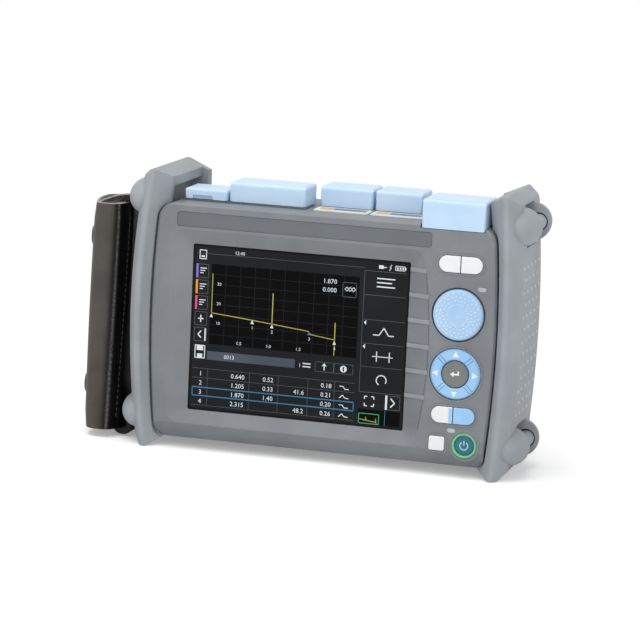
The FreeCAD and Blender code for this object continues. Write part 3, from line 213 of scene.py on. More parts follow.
# bumpers: moulded elastomer, dull and soft to the touch
tpeGrey = moulded("tpeBumperGrey", "#989da2", "#a2a7ac", 0.62, grainSize=0.5, grainDepth=0.03)
tpeDotHighlight = moulded("tpeDotGrey", "#c4c8cb", "#d0d3d6", 0.45)      # dot tops worn a little shiny; their lighter grey is a painted highlight where they catch the light
tpeGapShade = moulded("tpeSeamShade", "#16171a", "#1f2023", 0.7)    # painted shade: a dark sheet where the deep gap lies in shadow
# keys: moulded silicone with a hard coat, a slight shine on a soft body
whiteKey = moulded("siliconeKeyWhite", "#eceff0", "#f4f6f7", 0.42)
blueKey = moulded("siliconeKeyBlue", "#98c9f3", "#a6d3fa", 0.42)
blueGroove = moulded("siliconeGrooveBlue", "#4478a8", "#4d82b4", 0.5)
greyKey = moulded("siliconeKeyGrey", "#767777", "#808181", 0.45)
tealKey = moulded("siliconeKeyTeal", "#2b647f", "#316e8a", 0.4)
keyRubber = moulded("siliconeMatBlack", "#2a2b2c", "#313233", 0.65)
mintInk = moulded("screenPrintMint", "#9fdcc8", "#aee4d2", 0.45)
# light guides: moulded acrylic, clear and glossy; the ring is lit
greenRing = moulded("acrylicRingGreen", "#58b86b", "#72cc86", 0.25, grainDepth=0.004,
                    Emission_Color=linear("#6fd488"), Emission_Strength=0.15)
lampLens = moulded("acrylicLensClear", "#b4b8ba", "#c6cacb", 0.18, grainDepth=0.003)
# caps and knob: glossier ABS, so their edges catch the light
paleBlue = moulded("absCapPaleBlue", "#c2def9", "#cde6fd", 0.33)
knobBlue = moulded("absKnobBlue", "#a9cdf0", "#b5d7f6", 0.3)
# knob bumps: smoother, and lighter than the knob as a painted highlight where their tops catch the light
knobBumpHighlight = moulded("absKnobBumpPolished", "#cfe4fa", "#dcecfc", 0.25, grainDepth=0.004)
# labels: printed polycarbonate film, smooth with an even sheen
labelWhite = moulded("polycarbonateLabelWhite", "#e4e5e3", "#eeefec", 0.4, grainSize=0.2, grainDepth=0.006)
labelOrange = moulded("labelInkOrange", "#dca850", "#e6b560", 0.45, grainSize=0.2, grainDepth=0.004)
labelGrey = moulded("labelInkGrey", "#6f7b87", "#7c8894", 0.45, grainSize=0.2, grainDepth=0.004)
studBlack = moulded("enamelStudBlack", "#101012", "#18181a", 0.22, grainDepth=0.002, Coat_Weight=0.4)
boardGreen = moulded("solderMaskGreen", "#1c5a36", "#23683f", 0.35)
steel = metal("turnedSteel", "#a3a4a6", "#b5b6b8", 0.35)
nickel = metal("nickelPlatedBrass", "#a9a59c", "#bab6ac", 0.28)
castAluminium = metal("castAluminium", "#9b9da0", "#acaeb1", 0.45)
# strap
# the two taupe tones are a painted sheen on the flap, and #a3a19d is a painted highlight on its grain tops
blackLeather = leather("pebbledLeatherBlack", "#060607", "#0c0c0d", "#504d49", "#5a5753", "#a3a19d", 0.1)
tanEdge = napped("cutLeatherEdgeTaupe", "#8d8580", "#b0a8a2")
blackEdge = napped("cutLeatherEdgeBlack", "#161615", "#2b2a29")
suede = napped("suedeLiningGrey", "#343432", "#8a8984", clump=4)
nylonBlack = woven("nylonWebbingBlack", "#08080a", "#18181a")
threadGrey = napped("polyesterThreadGrey", "#3f3e3c", "#5c5a57", fibre=0.15)
# display
coverGlass = lit("coverGlassBlack", "#171617", "#1d1c1d", 0.02)
screenPanel = lit("screenPanelCharcoal", "#1c1d1f", "#202123", 0.25)
screenPlot = lit("screenPlotBlack", "#040405", "#060607", 0.2)
screenLine = lit("screenLineGrey", "#4b4f53", "#55595d", 0.35)
screenGrid = lit("screenGridDim", "#202224", "#26282a", 0.3)
screenText = lit("screenTextWhite", "#c2c9cc", "#d0d7da", 0.35)
screenTrace = lit("screenTraceOlive", "#96924a", "#a4a052", 0.35)
screenBlue = lit("screenBlue", "#2a6b94", "#3277a1", 0.4)
screenBar = lit("screenBarSlate", "#434a54", "#4d5560", 0.3)
screenViolet = lit("screenTabViolet", "#6d63c8", "#776dd4", 0.35)
screenOrange = lit("screenTabOrange", "#d9822b", "#e28c35", 0.35)
screenPink = lit("screenTabPink", "#c4487f", "#ce5289", 0.35)
screenGreen = lit("screenBoxGreen", "#3f9a6c", "#48a576", 0.35)

finishes = (
    (absGrey, "front_bezel"),
    (absRear, "rear_case battery_door rear_stand"),
    (absPlate, "name_plate"),
    (absStepShadeAndPanel, "socket_surround"),
    (darkPlastic, "lcd_module encoder battery_pack inlet_socket"),
    (coverGlass, "display_glass"),
    (boardGreen, "main_board key_board"),
    (castAluminium, "optical_module"),
    (steel, "case_screws battery_screws bumper_screws stand_pins cover_pins knob_shaft"),
    (nickel, "data_socket mini_socket test_port_left test_port_right meter_port light_source_port"),
    (tpeGrey, "bumper_left bumper_right"),
    (whiteKey, "key_top_left key_top_right key_low_left key_escape"),
    (blueKey, "key_low_right arrow_ring"),
    (greyKey, "enter_key"),
    (tealKey, "power_key"),
    (greenRing, "power_ring"),
    (knobBlue, "knob"),
    (keyRubber, "key_mat"),
    (lampLens, "laser_lamp charge_lamp"),
    (paleBlue, "inlet_cover data_cover test_cover_left test_cover_right meter_cover"),
    (labelWhite, "label_plates"),
    (nylonBlack, "strap_webbing"),
    (studBlack, "snap_studs"),
)
for finish, nodeNames in finishes:
    for nodeName in nodeNames.split():
        mesh = frame["nodes"][nodeName].data
        mesh.materials.clear()
        mesh.materials.append(finish)
print("materials ready")


def place(name, build, finishList, body, smooth=False, turnOut=True):
    # a new mesh piece: faces turned outwards, its finishes, and the body it rides on
    if turnOut:
        bmesh.ops.recalc_face_normals(build, faces=build.faces)
    mesh = bpy.data.meshes.new(name)
    build.to_mesh(mesh)
    build.free()
    for finish in finishList:
        mesh.materials.append(finish)
    if smooth:
        mesh.polygons.foreach_set("use_smooth", [True] * len(mesh.polygons))
    piece = bpy.data.objects.new(name, mesh)
    bpy.context.scene.collection.objects.link(piece)
    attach(piece, body)
    return piece


def addRing(build, centre, side, other, radius, steps):
    # points evenly round a centre, in the plane of two directions
    turns = [2 * math.pi * k / steps for k in range(steps)]
    return [build.verts.new(centre + radius * (side * math.cos(a) + other * math.sin(a))) for a in turns]


def bridge(build, low, high, material=0, closed=True):
    # faces between two rows of points
    for k in range(len(low) if closed else len(low) - 1):
        j = (k + 1) % len(low)
        build.faces.new((low[k], low[j], high[j], high[k])).material_index = material


def addPrism(build, outline, front, depth, material=0):
    # flat shape in the XZ plane with its face towards -Y, given as (x, z) corners
    near = [build.verts.new((x, front, z)) for x, z in outline]
    far = [build.verts.new((x, front + depth, z)) for x, z in outline]
    build.faces.new(near).material_index = material
    build.faces.new(far[::-1]).material_index = material
    bridge(build, far, near, material)


def addDome(build, centre, normal, radius, height, steps=10):
    # low rounded bump standing on a surface whose outward direction is given
    side = normal.orthogonal().normalized()
    other = normal.cross(side)
    rings = []
    for level in (0, 0.5, 0.85):
        spread, lift = math.cos(level * math.pi / 2), math.sin(level * math.pi / 2)
        rings.append(addRing(build, centre + normal * height * lift, side, other, radius * spread, steps))
    for low, high in zip(rings, rings[1:]):
        bridge(build, low, high)
    top = build.verts.new(centre + normal * height)
    for k in range(steps):
        build.faces.new((rings[-1][k], rings[-1][(k + 1) % steps], top))


# The screen picture is laid out in cells of the display, counted right and down from its top left corner.
# Its layers count towards the viewer: 1 panel, 2 fields, 3 marks, 4 lines, 5 pointers.
screen = {
    "columns": 640, "lines": 480,
    "rim": 4.2 * mm,        # black edge of the cover glass round the picture
    "lift": 0.03 * mm,      # each layer stands this far off the one behind it
    "plot": (50, 50, 497, 287), "gridColumns": 10, "gridRows": 8,
    "tabColumn": (4, 42), "tabTop": 52, "tabPitch": 47, "tabHeight": 41,
    "trace": [(55, 78), (55, 194), (180, 205), (240, 211), (350, 222), (358, 231), (430, 240), (430, 286)],
    "tableColumns": (4, 50, 178, 266, 356, 436, 497), "tableTop": 361, "rowPitch": 27.5,
    "rowEnds": (34, 164, 252, 346, 428),
    "rows": (("1", "0.640", "0.52", "", "0.18"), ("2", "1.205", "0.33", "41.6", "0.21"),
             ("3", "1.870", "1.40", "", "0.20"), ("4", "2.315", "", "48.2", "0.26")),
    "keyColumn": (510, 636),
}
glassLow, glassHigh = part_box("display_glass")
cell = (glassHigh.x - glassLow.x - 2 * screen["rim"]) / screen["columns"]
screenLeft = glassLow.x + screen["rim"]
screenTop = (glassLow.z + glassHigh.z) / 2 + cell * screen["lines"] / 2
layers = {}


def spot(u, v):
    return screenLeft + u * cell, screenTop - v * cell


def layerMesh(finish, layer):
    # all shapes of one finish on one layer share a mesh
    return layers.setdefault((finish.name, layer), (bmesh.new(), finish))[0]


def addShape(corners, finish=screenText, layer=3):
    # a flat patch of the picture in one finish
    build = layerMesh(finish, layer)
    level = glassLow.y - screen["lift"] * layer
    build.faces.new([build.verts.new((x, level, z)) for x, z in (spot(u, v) for u, v in corners)])


def addBlock(u0, v0, u1, v1, finish=screenText, layer=3):
    addShape([(u0, v1), (u1, v1), (u1, v0), (u0, v0)], finish, layer)


def addOutline(u0, v0, u1, v1, width, finish, layer):
    addBlock(u0, v0, u1, v0 + width, finish, layer)
    addBlock(u0, v1 - width, u1, v1, finish, layer)
    addBlock(u0, v0, u0 + width, v1, finish, layer)
    addBlock(u1 - width, v0, u1, v1, finish, layer)


def addStroke(points, width, finish=screenText, layer=3):
    # a line of even width through the points
    for (u0, v0), (u1, v1) in zip(points, points[1:]):
        length = math.hypot(u1 - u0, v1 - v0)
        du, dv = -(v1 - v0) / length * width / 2, (u1 - u0) / length * width / 2
        addShape([(u0 + du, v0 + dv), (u1 + du, v1 + dv), (u1 - du, v1 - dv), (u0 - du, v0 - dv)],
                 finish, layer)


def arcPoints(u, v, radius, steps, turns):
    # points on a circle; turns counts steps anticlockwise from the right
    return [(u + radius * math.cos(2 * math.pi * k / steps), v - radius * math.sin(2 * math.pi * k / steps))
            for k in turns]


def addNumber(text, u, v, size):
    # plain figures only, right-aligned at (u, v)
    curve = bpy.data.curves.new("figure", "FONT")
    curve.body = text
    curve.size = size * cell
    curve.align_x = "RIGHT"
    curve.resolution_u = 2
    holder = bpy.data.objects.new("figure", curve)
    flat = bpy.data.meshes.new_from_object(holder)
    x, z = spot(u, v)
    turn = Matrix.Rotation(math.pi / 2, 4, "X")
    flat.transform(Matrix.Translation((x, glassLow.y - screen["lift"] * 3, z)) @ turn)
    layerMesh(screenText, 3).from_mesh(flat)
    bpy.data.objects.remove(holder)
    bpy.data.meshes.remove(flat)
    bpy.data.curves.remove(curve)


def drawGrid():
    u0, v0, u1, v1 = screen["plot"]
    addBlock(u0, v0, u1, v1, screenPlot, 2)
    for i in range(1, screen["gridColumns"]):
        u = between(u0, u1, i / screen["gridColumns"])
        addBlock(u - 0.6, v0, u + 0.6, v1, screenGrid, 3)
    for i in range(1, screen["gridRows"]):
        v = between(v0, v1, i / screen["gridRows"])
        addBlock(u0, v - 0.6, u1, v + 0.6, screenGrid, 3)


def drawTabs():
    # five tabs at the left: three with a colour bar and lines, then a plus, then a back arrow
    left, right = screen["tabColumn"]
    for i, colour in enumerate((screenViolet, screenOrange, screenPink, None, None)):
        top = screen["tabTop"] + i * screen["tabPitch"]
        addOutline(left, top, right, top + screen["tabHeight"], 1.6, screenLine, 2)
        if colour:
            addBlock(left, top, left + 6, top + screen["tabHeight"], colour, 3)
            for k in range(3):
                addBlock(left + 12, top + 11 + k * 7, right - 6 - 5 * k, top + 13.5 + k * 7)
    addBlock(left + 11, 212, right - 11, 215.5)
    addBlock(left + 17.3, 203, left + 20.8, 224.5)
    addStroke([(26, 250), (16, 260.5), (26, 271)], 3.4)
    addBlock(right - 6, 242, right - 2, 279)


def drawStatusBar():
    # memory card at the left; charging bolt, plug, battery and the time
    addOutline(12, 10, 34, 38, 2.4, screenText, 2)
    addBlock(18, 27, 28, 32)
    addBlock(screen["tabColumn"][0], 20, 508, 21.2, screenLine, 2)
    addOutline(600, 8, 630, 22, 2.2, screenText, 2)
    addBlock(630, 12, 633, 18, screenText, 2)
    for k in range(3):
        addBlock(605 + k * 8, 12, 610 + k * 8, 18)
    addStroke([(590, 6), (584, 15), (589, 15), (583, 24)], 2.0)
    addBlock(552, 10, 566, 20)
    addBlock(566, 14, 575, 16.5)
    addNumber("12:40", 150, 17, 14)


def drawTrace():
    # fibre trace with its events, the read-out at the top right and the scale figures
    addNumber("1.870", 430, 76, 19)
    addNumber("0.000", 430, 101, 19)
    addOutline(447, 68, 489, 112, 1.6, screenLine, 3)
    for k in range(3):
        u = 454 + k * 10
        addStroke([(u, 88), (u + 6, 82), (u + 12, 88), (u + 6, 94), (u, 88)], 1.8)
    addStroke(screen["trace"], 2.4, screenTrace, 4)
    addStroke([(240, 120), (240, 212)], 3.0, screenTrace, 4)
    addStroke([(430, 190), (430, 242)], 3.0, screenTrace, 4)
    for u, v, finish in ((55, 200, screenText), (180, 209, screenText), (240, 216, screenText),
                         (353, 226, screenBlue), (430, 247, screenText)):
        addShape([(u - 5, v + 7), (u + 5, v + 7), (u, v - 4)], finish, 5)
    for text, u, v in (("30", 82, 112), ("20", 82, 170), ("10", 82, 228), ("0.5", 150, 282), ("1.0", 240, 282),
                       ("1.5", 330, 282), ("1", 184, 232), ("2", 244, 239), ("3", 357, 249), ("4", 434, 270)):
        addNumber(text, u, v, 13)


def drawMessageBar():
    # slate bar with a count, the save sign before it and the small buttons behind it
    addBlock(46, 308, 314, 334, screenBar, 2)
    addNumber("0013", 130, 327, 16)
    addOutline(8, 292, 40, 332, 2.6, screenText, 2)
    addBlock(14, 294, 34, 308)
    addBlock(16, 318, 32, 330)
    for v in (316, 325):
        addBlock(338, v, 362, v + 3.4)
    addNumber("1", 333, 329, 15)
    addOutline(375, 308, 432, 338, 1.4, screenLine, 2)
    addOutline(432, 308, 490, 338, 1.4, screenLine, 2)
    addStroke([(403, 332), (403, 316)], 3.2)
    addShape([(396, 320), (410, 320), (403, 311)])
    addShape(arcPoints(461, 323, 10, 16, range(16)))
    addBlock(459, 316, 463, 330, screenPanel, 4)


def drawTable():
    # results table, one event chosen
    edges, top, pitch = screen["tableColumns"], screen["tableTop"], screen["rowPitch"]
    for u in edges[1:-1]:
        addBlock(u, top + 1, u + 1.2, top + 111, screenLine, 2)
    for v in (361, 389, 416, 444, 471):
        addBlock(edges[0], v, edges[-1], v + 1.2, screenLine, 2)
    for i, row in enumerate(screen["rows"]):
        for text, end in zip(row, screen["rowEnds"]):
            if text:
                addNumber(text, end, top + 22 + i * pitch, 19)
        base = top + 19 + i * pitch
        step = [(452, base - 6), (462, base - 6), (468, base + 2), (480, base + 2)]
        peak = [(452, base + 2), (462, base - 8), (468, base), (480, base + 2)]
        addStroke(peak if i % 2 else step, 2.4)
    addOutline(edges[0], 417, edges[-1], 444, 2.6, screenBlue, 4)


def drawKeyColumn():
    # fields beside the soft keys, each with a simple sign, and the small overview at the foot
    left, right = screen["keyColumn"]
    for v in (28, 98, 170, 240, 308, 383):
        addBlock(left, v, right, v + 1.4, screenLine, 2)
    addBlock(left, 28, left + 1.4, 384, screenLine, 2)
    for k in range(3):
        addBlock(548, 47 + k * 12, 602 - 9 * (k % 2), 50.5 + k * 12)
    for v in (180, 250):
        addShape([(515, v), (522, v - 7), (522, v + 7)])
    addStroke([(544, 214), (562, 214), (576, 192), (590, 214), (606, 214)], 3.0)
    for u in (556, 594):
        addBlock(u, 262, u + 3, 292)
    addStroke([(544, 277), (606, 277)], 2.4)
    addStroke(arcPoints(575, 346, 15, 12, range(-1, 9)), 3.2)
    for u, v, du, dv in ((528, 396, 1, 1), (556, 396, -1, 1), (528, 424, 1, -1), (556, 424, -1, -1)):
        addStroke([(u, v + 8 * dv), (u, v), (u + 8 * du, v)], 2.8)
    addOutline(590, 388, 634, 430, 1.6, screenLine, 2)
    addBlock(590, 388, 596, 430)
    addStroke([(606, 396), (618, 409), (606, 422)], 3.6)
    addBlock(left, 434, right, 478, screenPlot, 2)
    addOutline(512, 446, 574, 477, 2.0, screenGreen, 3)
    addStroke([(516, 464), (534, 467), (534, 456), (536, 467), (564, 470), (564, 458), (566, 474)],
              2.0, screenTrace, 4)
    addBlock(590, 434, 591.4, 478, screenBlue, 3)


addBlock(0, 0, screen["columns"], screen["lines"], screenPanel, 1)
drawGrid()
drawTabs()
drawStatusBar()
drawTrace()
drawMessageBar()
drawTable()
drawKeyColumn()
for (finishName, layer), (build, finish) in layers.items():
    place("screen_" + finishName + "_" + str(layer), build, [finish], root, turnOut=False)
print("screen picture drawn")

markLift = 0.02 * mm        # printed marks stand this far off their key


def faceOf(node):
    # middle of a key and the level of its front
    low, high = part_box(node)
    return (low + high) / 2, low.y


def onKey(corners, centre):
    # (x, z) corners in mm, measured from the middle of a key
    return [(centre.x + x * mm, centre.z + z * mm) for x, z in corners]


def spun(corners, turn, centre):
    # the same corners turned about that middle
    return onKey([turn @ Vector(corner) for corner in corners], centre)


arrowMarks = {"reach": 10.3, "size": 1.75, "grooveOffset": 0.85, "grooveWidth": 0.3, "grooveFrom": 7.9,
              "grooveTo": 12.3, "depth": 0.4}


def markArrowRing():
    # four arrows, and between them pairs of grooves
    centre, front = faceOf("arrow_ring")
    size, reach, half = arrowMarks["size"], arrowMarks["reach"], arrowMarks["grooveWidth"] / 2
    arrow = [(-size, reach - size * 0.7), (size, reach - size * 0.7), (0, reach + size)]
    build = bmesh.new()
    for quarter in range(4):
        turn = Matrix.Rotation(quarter * math.pi / 2, 2)
        addPrism(build, spun(arrow, turn, centre), front - markLift, arrowMarks["depth"] * mm)
    for quarter in range(4):
        turn = Matrix.Rotation(math.pi / 4 + quarter * math.pi / 2, 2)
        for offset in (-arrowMarks["grooveOffset"], arrowMarks["grooveOffset"]):
            groove = [(arrowMarks["grooveFrom"], offset - half), (arrowMarks["grooveTo"], offset - half),
                      (arrowMarks["grooveTo"], offset + half), (arrowMarks["grooveFrom"], offset + half)]
            addPrism(build, spun(groove, turn, centre), front - markLift, arrowMarks["depth"] * mm, 1)
    place("arrow_ring_marks", build, [whiteKey, blueGroove], "arrow_ring_body")


powerSign = {"radius": 2.1, "line": 0.55, "opensAt": 125, "sweep": 290, "steps": 22, "barFoot": 0.2,
             "barTop": 2.7, "depth": 0.2}


def markPowerKey():
    # standby sign: a ring open at the top with a bar through the gap
    centre, front = faceOf("power_key")
    build = bmesh.new()
    half = powerSign["line"] / 2
    inner, outer = powerSign["radius"] - half, powerSign["radius"] + half
    for k in range(powerSign["steps"]):
        a, b = (math.radians(powerSign["opensAt"] + powerSign["sweep"] * step / powerSign["steps"])
                for step in (k, k + 1))
        corners = [(radius * math.cos(angle), radius * math.sin(angle))
                   for radius, angle in ((inner, a), (outer, a), (outer, b), (inner, b))]
        addPrism(build, onKey(corners, centre), front - markLift, powerSign["depth"] * mm)
    bar = [(-half, powerSign["barFoot"]), (half, powerSign["barFoot"]), (half, powerSign["barTop"]),
           (-half, powerSign["barTop"])]
    addPrism(build, onKey(bar, centre), front - markLift, powerSign["depth"] * mm)
    place("power_sign", build, [mintInk], "power_key_body")


enterSign = {"shaft": ((-0.6, -0.5), (2.2, -0.5), (2.2, 1.7), (1.3, 1.7), (1.3, 0.4), (-0.6, 0.4)),
             "head": ((-0.6, -1.5), (-0.6, 1.4), (-2.5, -0.05)), "depth": 0.2}


def markEnterKey():
    # return arrow
    centre, front = faceOf("enter_key")
    build = bmesh.new()
    for shape in (enterSign["shaft"], enterSign["head"]):
        addPrism(build, onKey(shape, centre), front - markLift, enterSign["depth"] * mm)
    place("enter_sign", build, [whiteKey], "enter_key_body")


lowStrip = {"width": 1.7, "sideGap": 0.15, "endGap": 1.8, "depth": 0.3}


def markLowKey():
    # blue side strip of the left lower key
    low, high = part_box("key_low_left")
    x1 = high.x - lowStrip["sideGap"] * mm
    x0 = x1 - lowStrip["width"] * mm
    z0, z1 = low.z + lowStrip["endGap"] * mm, high.z - lowStrip["endGap"] * mm
    build = bmesh.new()
    addPrism(build, [(x0, z0), (x1, z0), (x1, z1), (x0, z1)], low.y - markLift, lowStrip["depth"] * mm)
    place("key_low_left_strip", build, [blueKey], "key_low_left_body")


knobGrip = {
    "rings": ((5.6, 0.40), (7.5, 0.46), (9.4, 0.50), (11.2, 0.52)),   # radius of a ring and of its bumps, mm
    "count": 26, "height": 0.38, "lean": 0.5 / 13.25, "seat": 0.05,
}


def studKnob():
    # rings of small grip bumps round a smooth middle, each seated a little way into the knob
    centre, front = faceOf("knob")
    build = bmesh.new()
    for ring, (radius, size) in enumerate(knobGrip["rings"]):
        for k in range(knobGrip["count"]):
            angle = 2 * math.pi * (k + 0.5 * (ring % 2)) / knobGrip["count"]
            foot = Vector((centre.x + radius * mm * math.cos(angle),
                           front + (knobGrip["lean"] * radius + knobGrip["seat"]) * mm,
                           centre.z + radius * mm * math.sin(angle)))
            addDome(build, foot, -back, size * mm, knobGrip["height"] * mm)
    place("knob_bumps", build, [knobBumpHighlight], "knob_body", smooth=True)


lightCollar = {"inner": 6.1, "outer": 6.95, "rise": 0.12, "steps": 48}


def rimPowerRing():
    # grey moulded lip round the lit ring: radius and how far each edge lies behind the lip's top, mm
    centre, front = faceOf("power_ring")
    inner, outer = lightCollar["inner"], lightCollar["outer"]
    build = bmesh.new()
    rings = []
    for radius, drop in ((inner, 0.35), (inner + 0.25, 0.0), (outer - 0.3, 0.1), (outer, 0.7)):
        middle = Vector((centre.x, front - (lightCollar["rise"] - drop) * mm, centre.z))
        rings.append(addRing(build, middle, right, up, radius * mm, lightCollar["steps"]))
    for low, high in zip(rings, rings[1:]):
        bridge(build, low, high)
    place("power_ring_lip", build, [absGrey], root, smooth=True)


markArrowRing()
markPowerKey()
markEnterKey()
markLowKey()
studKnob()
rimPowerRing()
print("key marks done")

softKeys = {"glassMargin": 3.0, "above": 7.6, "below": 6.8, "corner": 7.0, "reach": 8.3, "bulge": 3.9,
            "count": 6, "top": 3.4, "pitch": 13.2, "height": 2.4, "proud": 0.32, "over": 0.4,
            "gap": 0.3, "sink": 0.06, "short": 0.1, "lastField": 9.0, "fieldParts": 6,
            "step": 0.28, "stepProud": 0.1, "softEdge": 0.35}
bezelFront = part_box("front_bezel")[0].y
stripLeft = glassHigh.x - softKeys["glassMargin"] * mm
stripTop = glassHigh.z + (softKeys["above"] - softKeys["glassMargin"]) * mm
stripFoot = glassLow.z - (softKeys["below"] - softKeys["glassMargin"]) * mm


def skinY(x, z):
    # where the bezel's front skin lies at this place
    hit, point, _, _ = frame["nodes"]["front_bezel"].ray_cast(Vector((x, -1, z)), back)
    return point.y if hit else bezelFront


def stripEdge(z):
    # outer edge of the sloped strip beside the screen, bowed out in the middle
    half = (stripTop - stripFoot) / 2 - softKeys["corner"] * mm
    share = (z - (stripTop + stripFoot) / 2) / half
    return stripLeft + (softKeys["reach"] + softKeys["bulge"] * max(0.0, 1 - share * share)) * mm


def addPad(build, x0, x1, z0, z1, proud, material, columns=10):
    # a low bar that follows the slope of the strip, with softened long edges
    soft = min(softKeys["softEdge"] * mm, (z1 - z0) / 4)
    across = [between(x0, x1, k / columns) for k in range(columns + 1)]
    skin = [skinY(x, (z0 + z1) / 2) for x in across]
    rows = []
    for z, lift in ((z0, -0.1), (z0 + soft * 0.4, 0.75), (z0 + soft, 1.0), (z1 - soft, 1.0),
                    (z1 - soft * 0.4, 0.75), (z1, -0.1)):
        rows.append([build.verts.new((x, y - lift * proud * mm, z)) for x, y in zip(across, skin)])
    for low, high in zip(rows, rows[1:]):
        bridge(build, low, high, material, closed=False)


def dressStrip():
    # crisp rib tops with a painted highlight, the fields between them, and the step along their outer ends in
    # painted shade
    x0 = stripLeft + softKeys["gap"] * mm
    build = bmesh.new()
    for i in range(softKeys["count"]):
        middle = stripTop - (softKeys["above"] + softKeys["top"] + i * softKeys["pitch"]) * mm
        z0, z1 = middle - softKeys["height"] / 2 * mm, middle + softKeys["height"] / 2 * mm
        addPad(build, x0, stripEdge(middle) + softKeys["over"] * mm, z0, z1, softKeys["proud"], 0)
        foot = z0 - (softKeys["pitch"] - softKeys["height"]) * mm
        if i == softKeys["count"] - 1:
            foot = stripFoot + softKeys["lastField"] * mm
        for k in range(softKeys["fieldParts"]):
            a, b = (between(z0, foot, part / softKeys["fieldParts"]) for part in (k, k + 1))
            edge = stripEdge((a + b) / 2)
            addPad(build, x0, edge - softKeys["short"] * mm, b, a, softKeys["sink"], 1)
            addPad(build, edge - softKeys["step"] * mm, edge + softKeys["step"] * mm, b, a,
                   softKeys["stepProud"], 2, columns=1)
    place("soft_key_strip", build, [absRibHighlight, absField, absStepShadeAndPanel], root)


dressStrip()
print("soft key strip done")

grip = {"rowPitch": 6.4, "columnPitch": 9.4, "radius": 0.95, "height": 0.35, "seat": 0.05, "steps": 8,
        "lowZ": 34.0, "highZ": 116.0, "firstY": -19.0, "lastY": 20.0}


def dotBumper(node, sign):
    # staggered raised dots, moulded with the bumper, seated on its own skin
    bumper = frame["nodes"][node]
    low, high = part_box(node)
    outside = (high.x if sign > 0 else low.x) + sign * (high.x - low.x)
    build = bmesh.new()
    row = 0
    z = grip["lowZ"]
    while z <= grip["highZ"]:
        y = grip["firstY"] + (grip["columnPitch"] / 2 if row % 2 else 0)
        while y <= grip["lastY"]:
            hit, point, normal, _ = bumper.ray_cast(Vector((outside, y * mm, z * mm)), -sign * right)
            if hit:
                addDome(build, point - normal * grip["seat"] * mm, normal, grip["radius"] * mm,
                        grip["height"] * mm, grip["steps"])
            y += grip["columnPitch"]
        z += grip["rowPitch"]
        row += 1
    # the dots' lighter grey is a painted highlight
    place(node + "_grip_dots", build, [tpeDotHighlight], root, smooth=True)


lugGapShade = {"barInset": 4.0, "inner": 4.0, "outer": 4.95, "halfGap": 0.5, "lift": 0.06, "steps": 40}


def seamLugs():
    # painted shade: a dark ring where each strap bar enters the two halves of its lug and the gap lies in
    # shadow; the strap openings say where the bars are
    build = bmesh.new()
    for opening in frame["record"]["physics"]["openings"]:
        if not opening["name"].startswith("right_lug"):
            continue
        low, high = (Vector(corner) for corner in opening["box_m"])
        for wall, inwards in ((high.y + lugGapShade["halfGap"] * mm, -1), (low.y - lugGapShade["halfGap"] * mm, 1)):
            middle = Vector((high.x + lugGapShade["barInset"] * mm, wall + inwards * lugGapShade["lift"] * mm,
                             (low.z + high.z) / 2))
            inner, outer = (addRing(build, middle, right, up, lugGapShade[edge] * mm, lugGapShade["steps"])
                            for edge in ("inner", "outer"))
            bridge(build, inner, outer)
    place("lug_seams", build, [tpeGapShade], root)


dotBumper("bumper_left", -1)
dotBumper("bumper_right", 1)
seamLugs()
print("grip dots and lug seams done")

labels = {"endMargin": 2.0, "orangeShare": 0.28, "halfGap": 0.3, "thick": 0.06, "inkFrom": 0.28, "inkTo": 0.68}


def inkLabels():
    # a plain orange field and a plain grey field on each white plate
    plates = [v.co.x for v in frame["nodes"]["label_plates"].data.vertices]
    low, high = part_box("label_plates")
    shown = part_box("test_cover_left")[0].y - low.y       # depth of a plate in front of its cover
    y0, y1 = low.y + labels["inkFrom"] * shown, low.y + labels["inkTo"] * shown
    z = high.z + labels["thick"] * mm
    middle = sum(plates) / len(plates)
    build = bmesh.new()
    for plate in ([x for x in plates if x < middle], [x for x in plates if x >= middle]):
        x0, x1 = min(plate) + labels["endMargin"] * mm, max(plate) - labels["endMargin"] * mm
        split, gap = between(x0, x1, labels["orangeShare"]), labels["halfGap"] * mm
        for index, (a, b) in enumerate(((x0, split - gap), (split + gap, x1))):
            corners = [build.verts.new((x, y, z)) for x, y in ((a, y0), (b, y0), (b, y1), (a, y1))]
            build.faces.new(corners).material_index = index
    place("label_ink", build, [labelOrange, labelGrey], root, turnOut=False)


inkLabels()
print("labels done")

# The sleeve runs up; an angle of 0 faces the instrument, -90 the front, 180 outwards.
# Sizes are mm, edges degrees.
sleeve = {"wall": 2.4, "rim": 0.9, "around": 144, "rows": 44, "squareness": 2.9, "topLean": 2.0,
          "sideGap": 0.32, "endGap": 0.4, "topTilt": 0.3, "pinch": 0.7, "pinchEnds": 14, "puff": 0.5,
          "wave": 0.1}
flap = {"frontFoot": 41, "frontTop": 14, "backEdge": 112, "thick": 1.15, "rise": 1.2, "columns": 110,
        "endGap": 0.2,
        "streakFoot": 72, "streakTop": 56, "streakWide": 4.0,      # line of painted highlight on the grain
        "fadeFoot": 86, "fadeTop": 71, "fadeWide": 11,             # beyond it a taupe painted sheen
        "shadeFrom": 148, "shadeWide": 22, "shadeDepth": 0.55}     # darkened again by painted shade at the far side
stitches = {"pitch": 3.2, "length": 2.1, "radius": 0.2, "lift": 0.02, "fromFoot": 7, "fromTop": 8,
            "frontFoot": -45, "frontTop": -18, "back": 60}
padLow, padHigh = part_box("hand_pad")
padHeight = padHigh.z - padLow.z


def ovalPoint(angle, centre, halfX, halfY):
    # rounded-square oval
    power = 2 / sleeve["squareness"]
    c, s = math.cos(angle), math.sin(angle)
    return Vector((centre.x + halfX * math.copysign(abs(c) ** power, c),
                   centre.y + halfY * math.copysign(abs(s) ** power, s), 0))


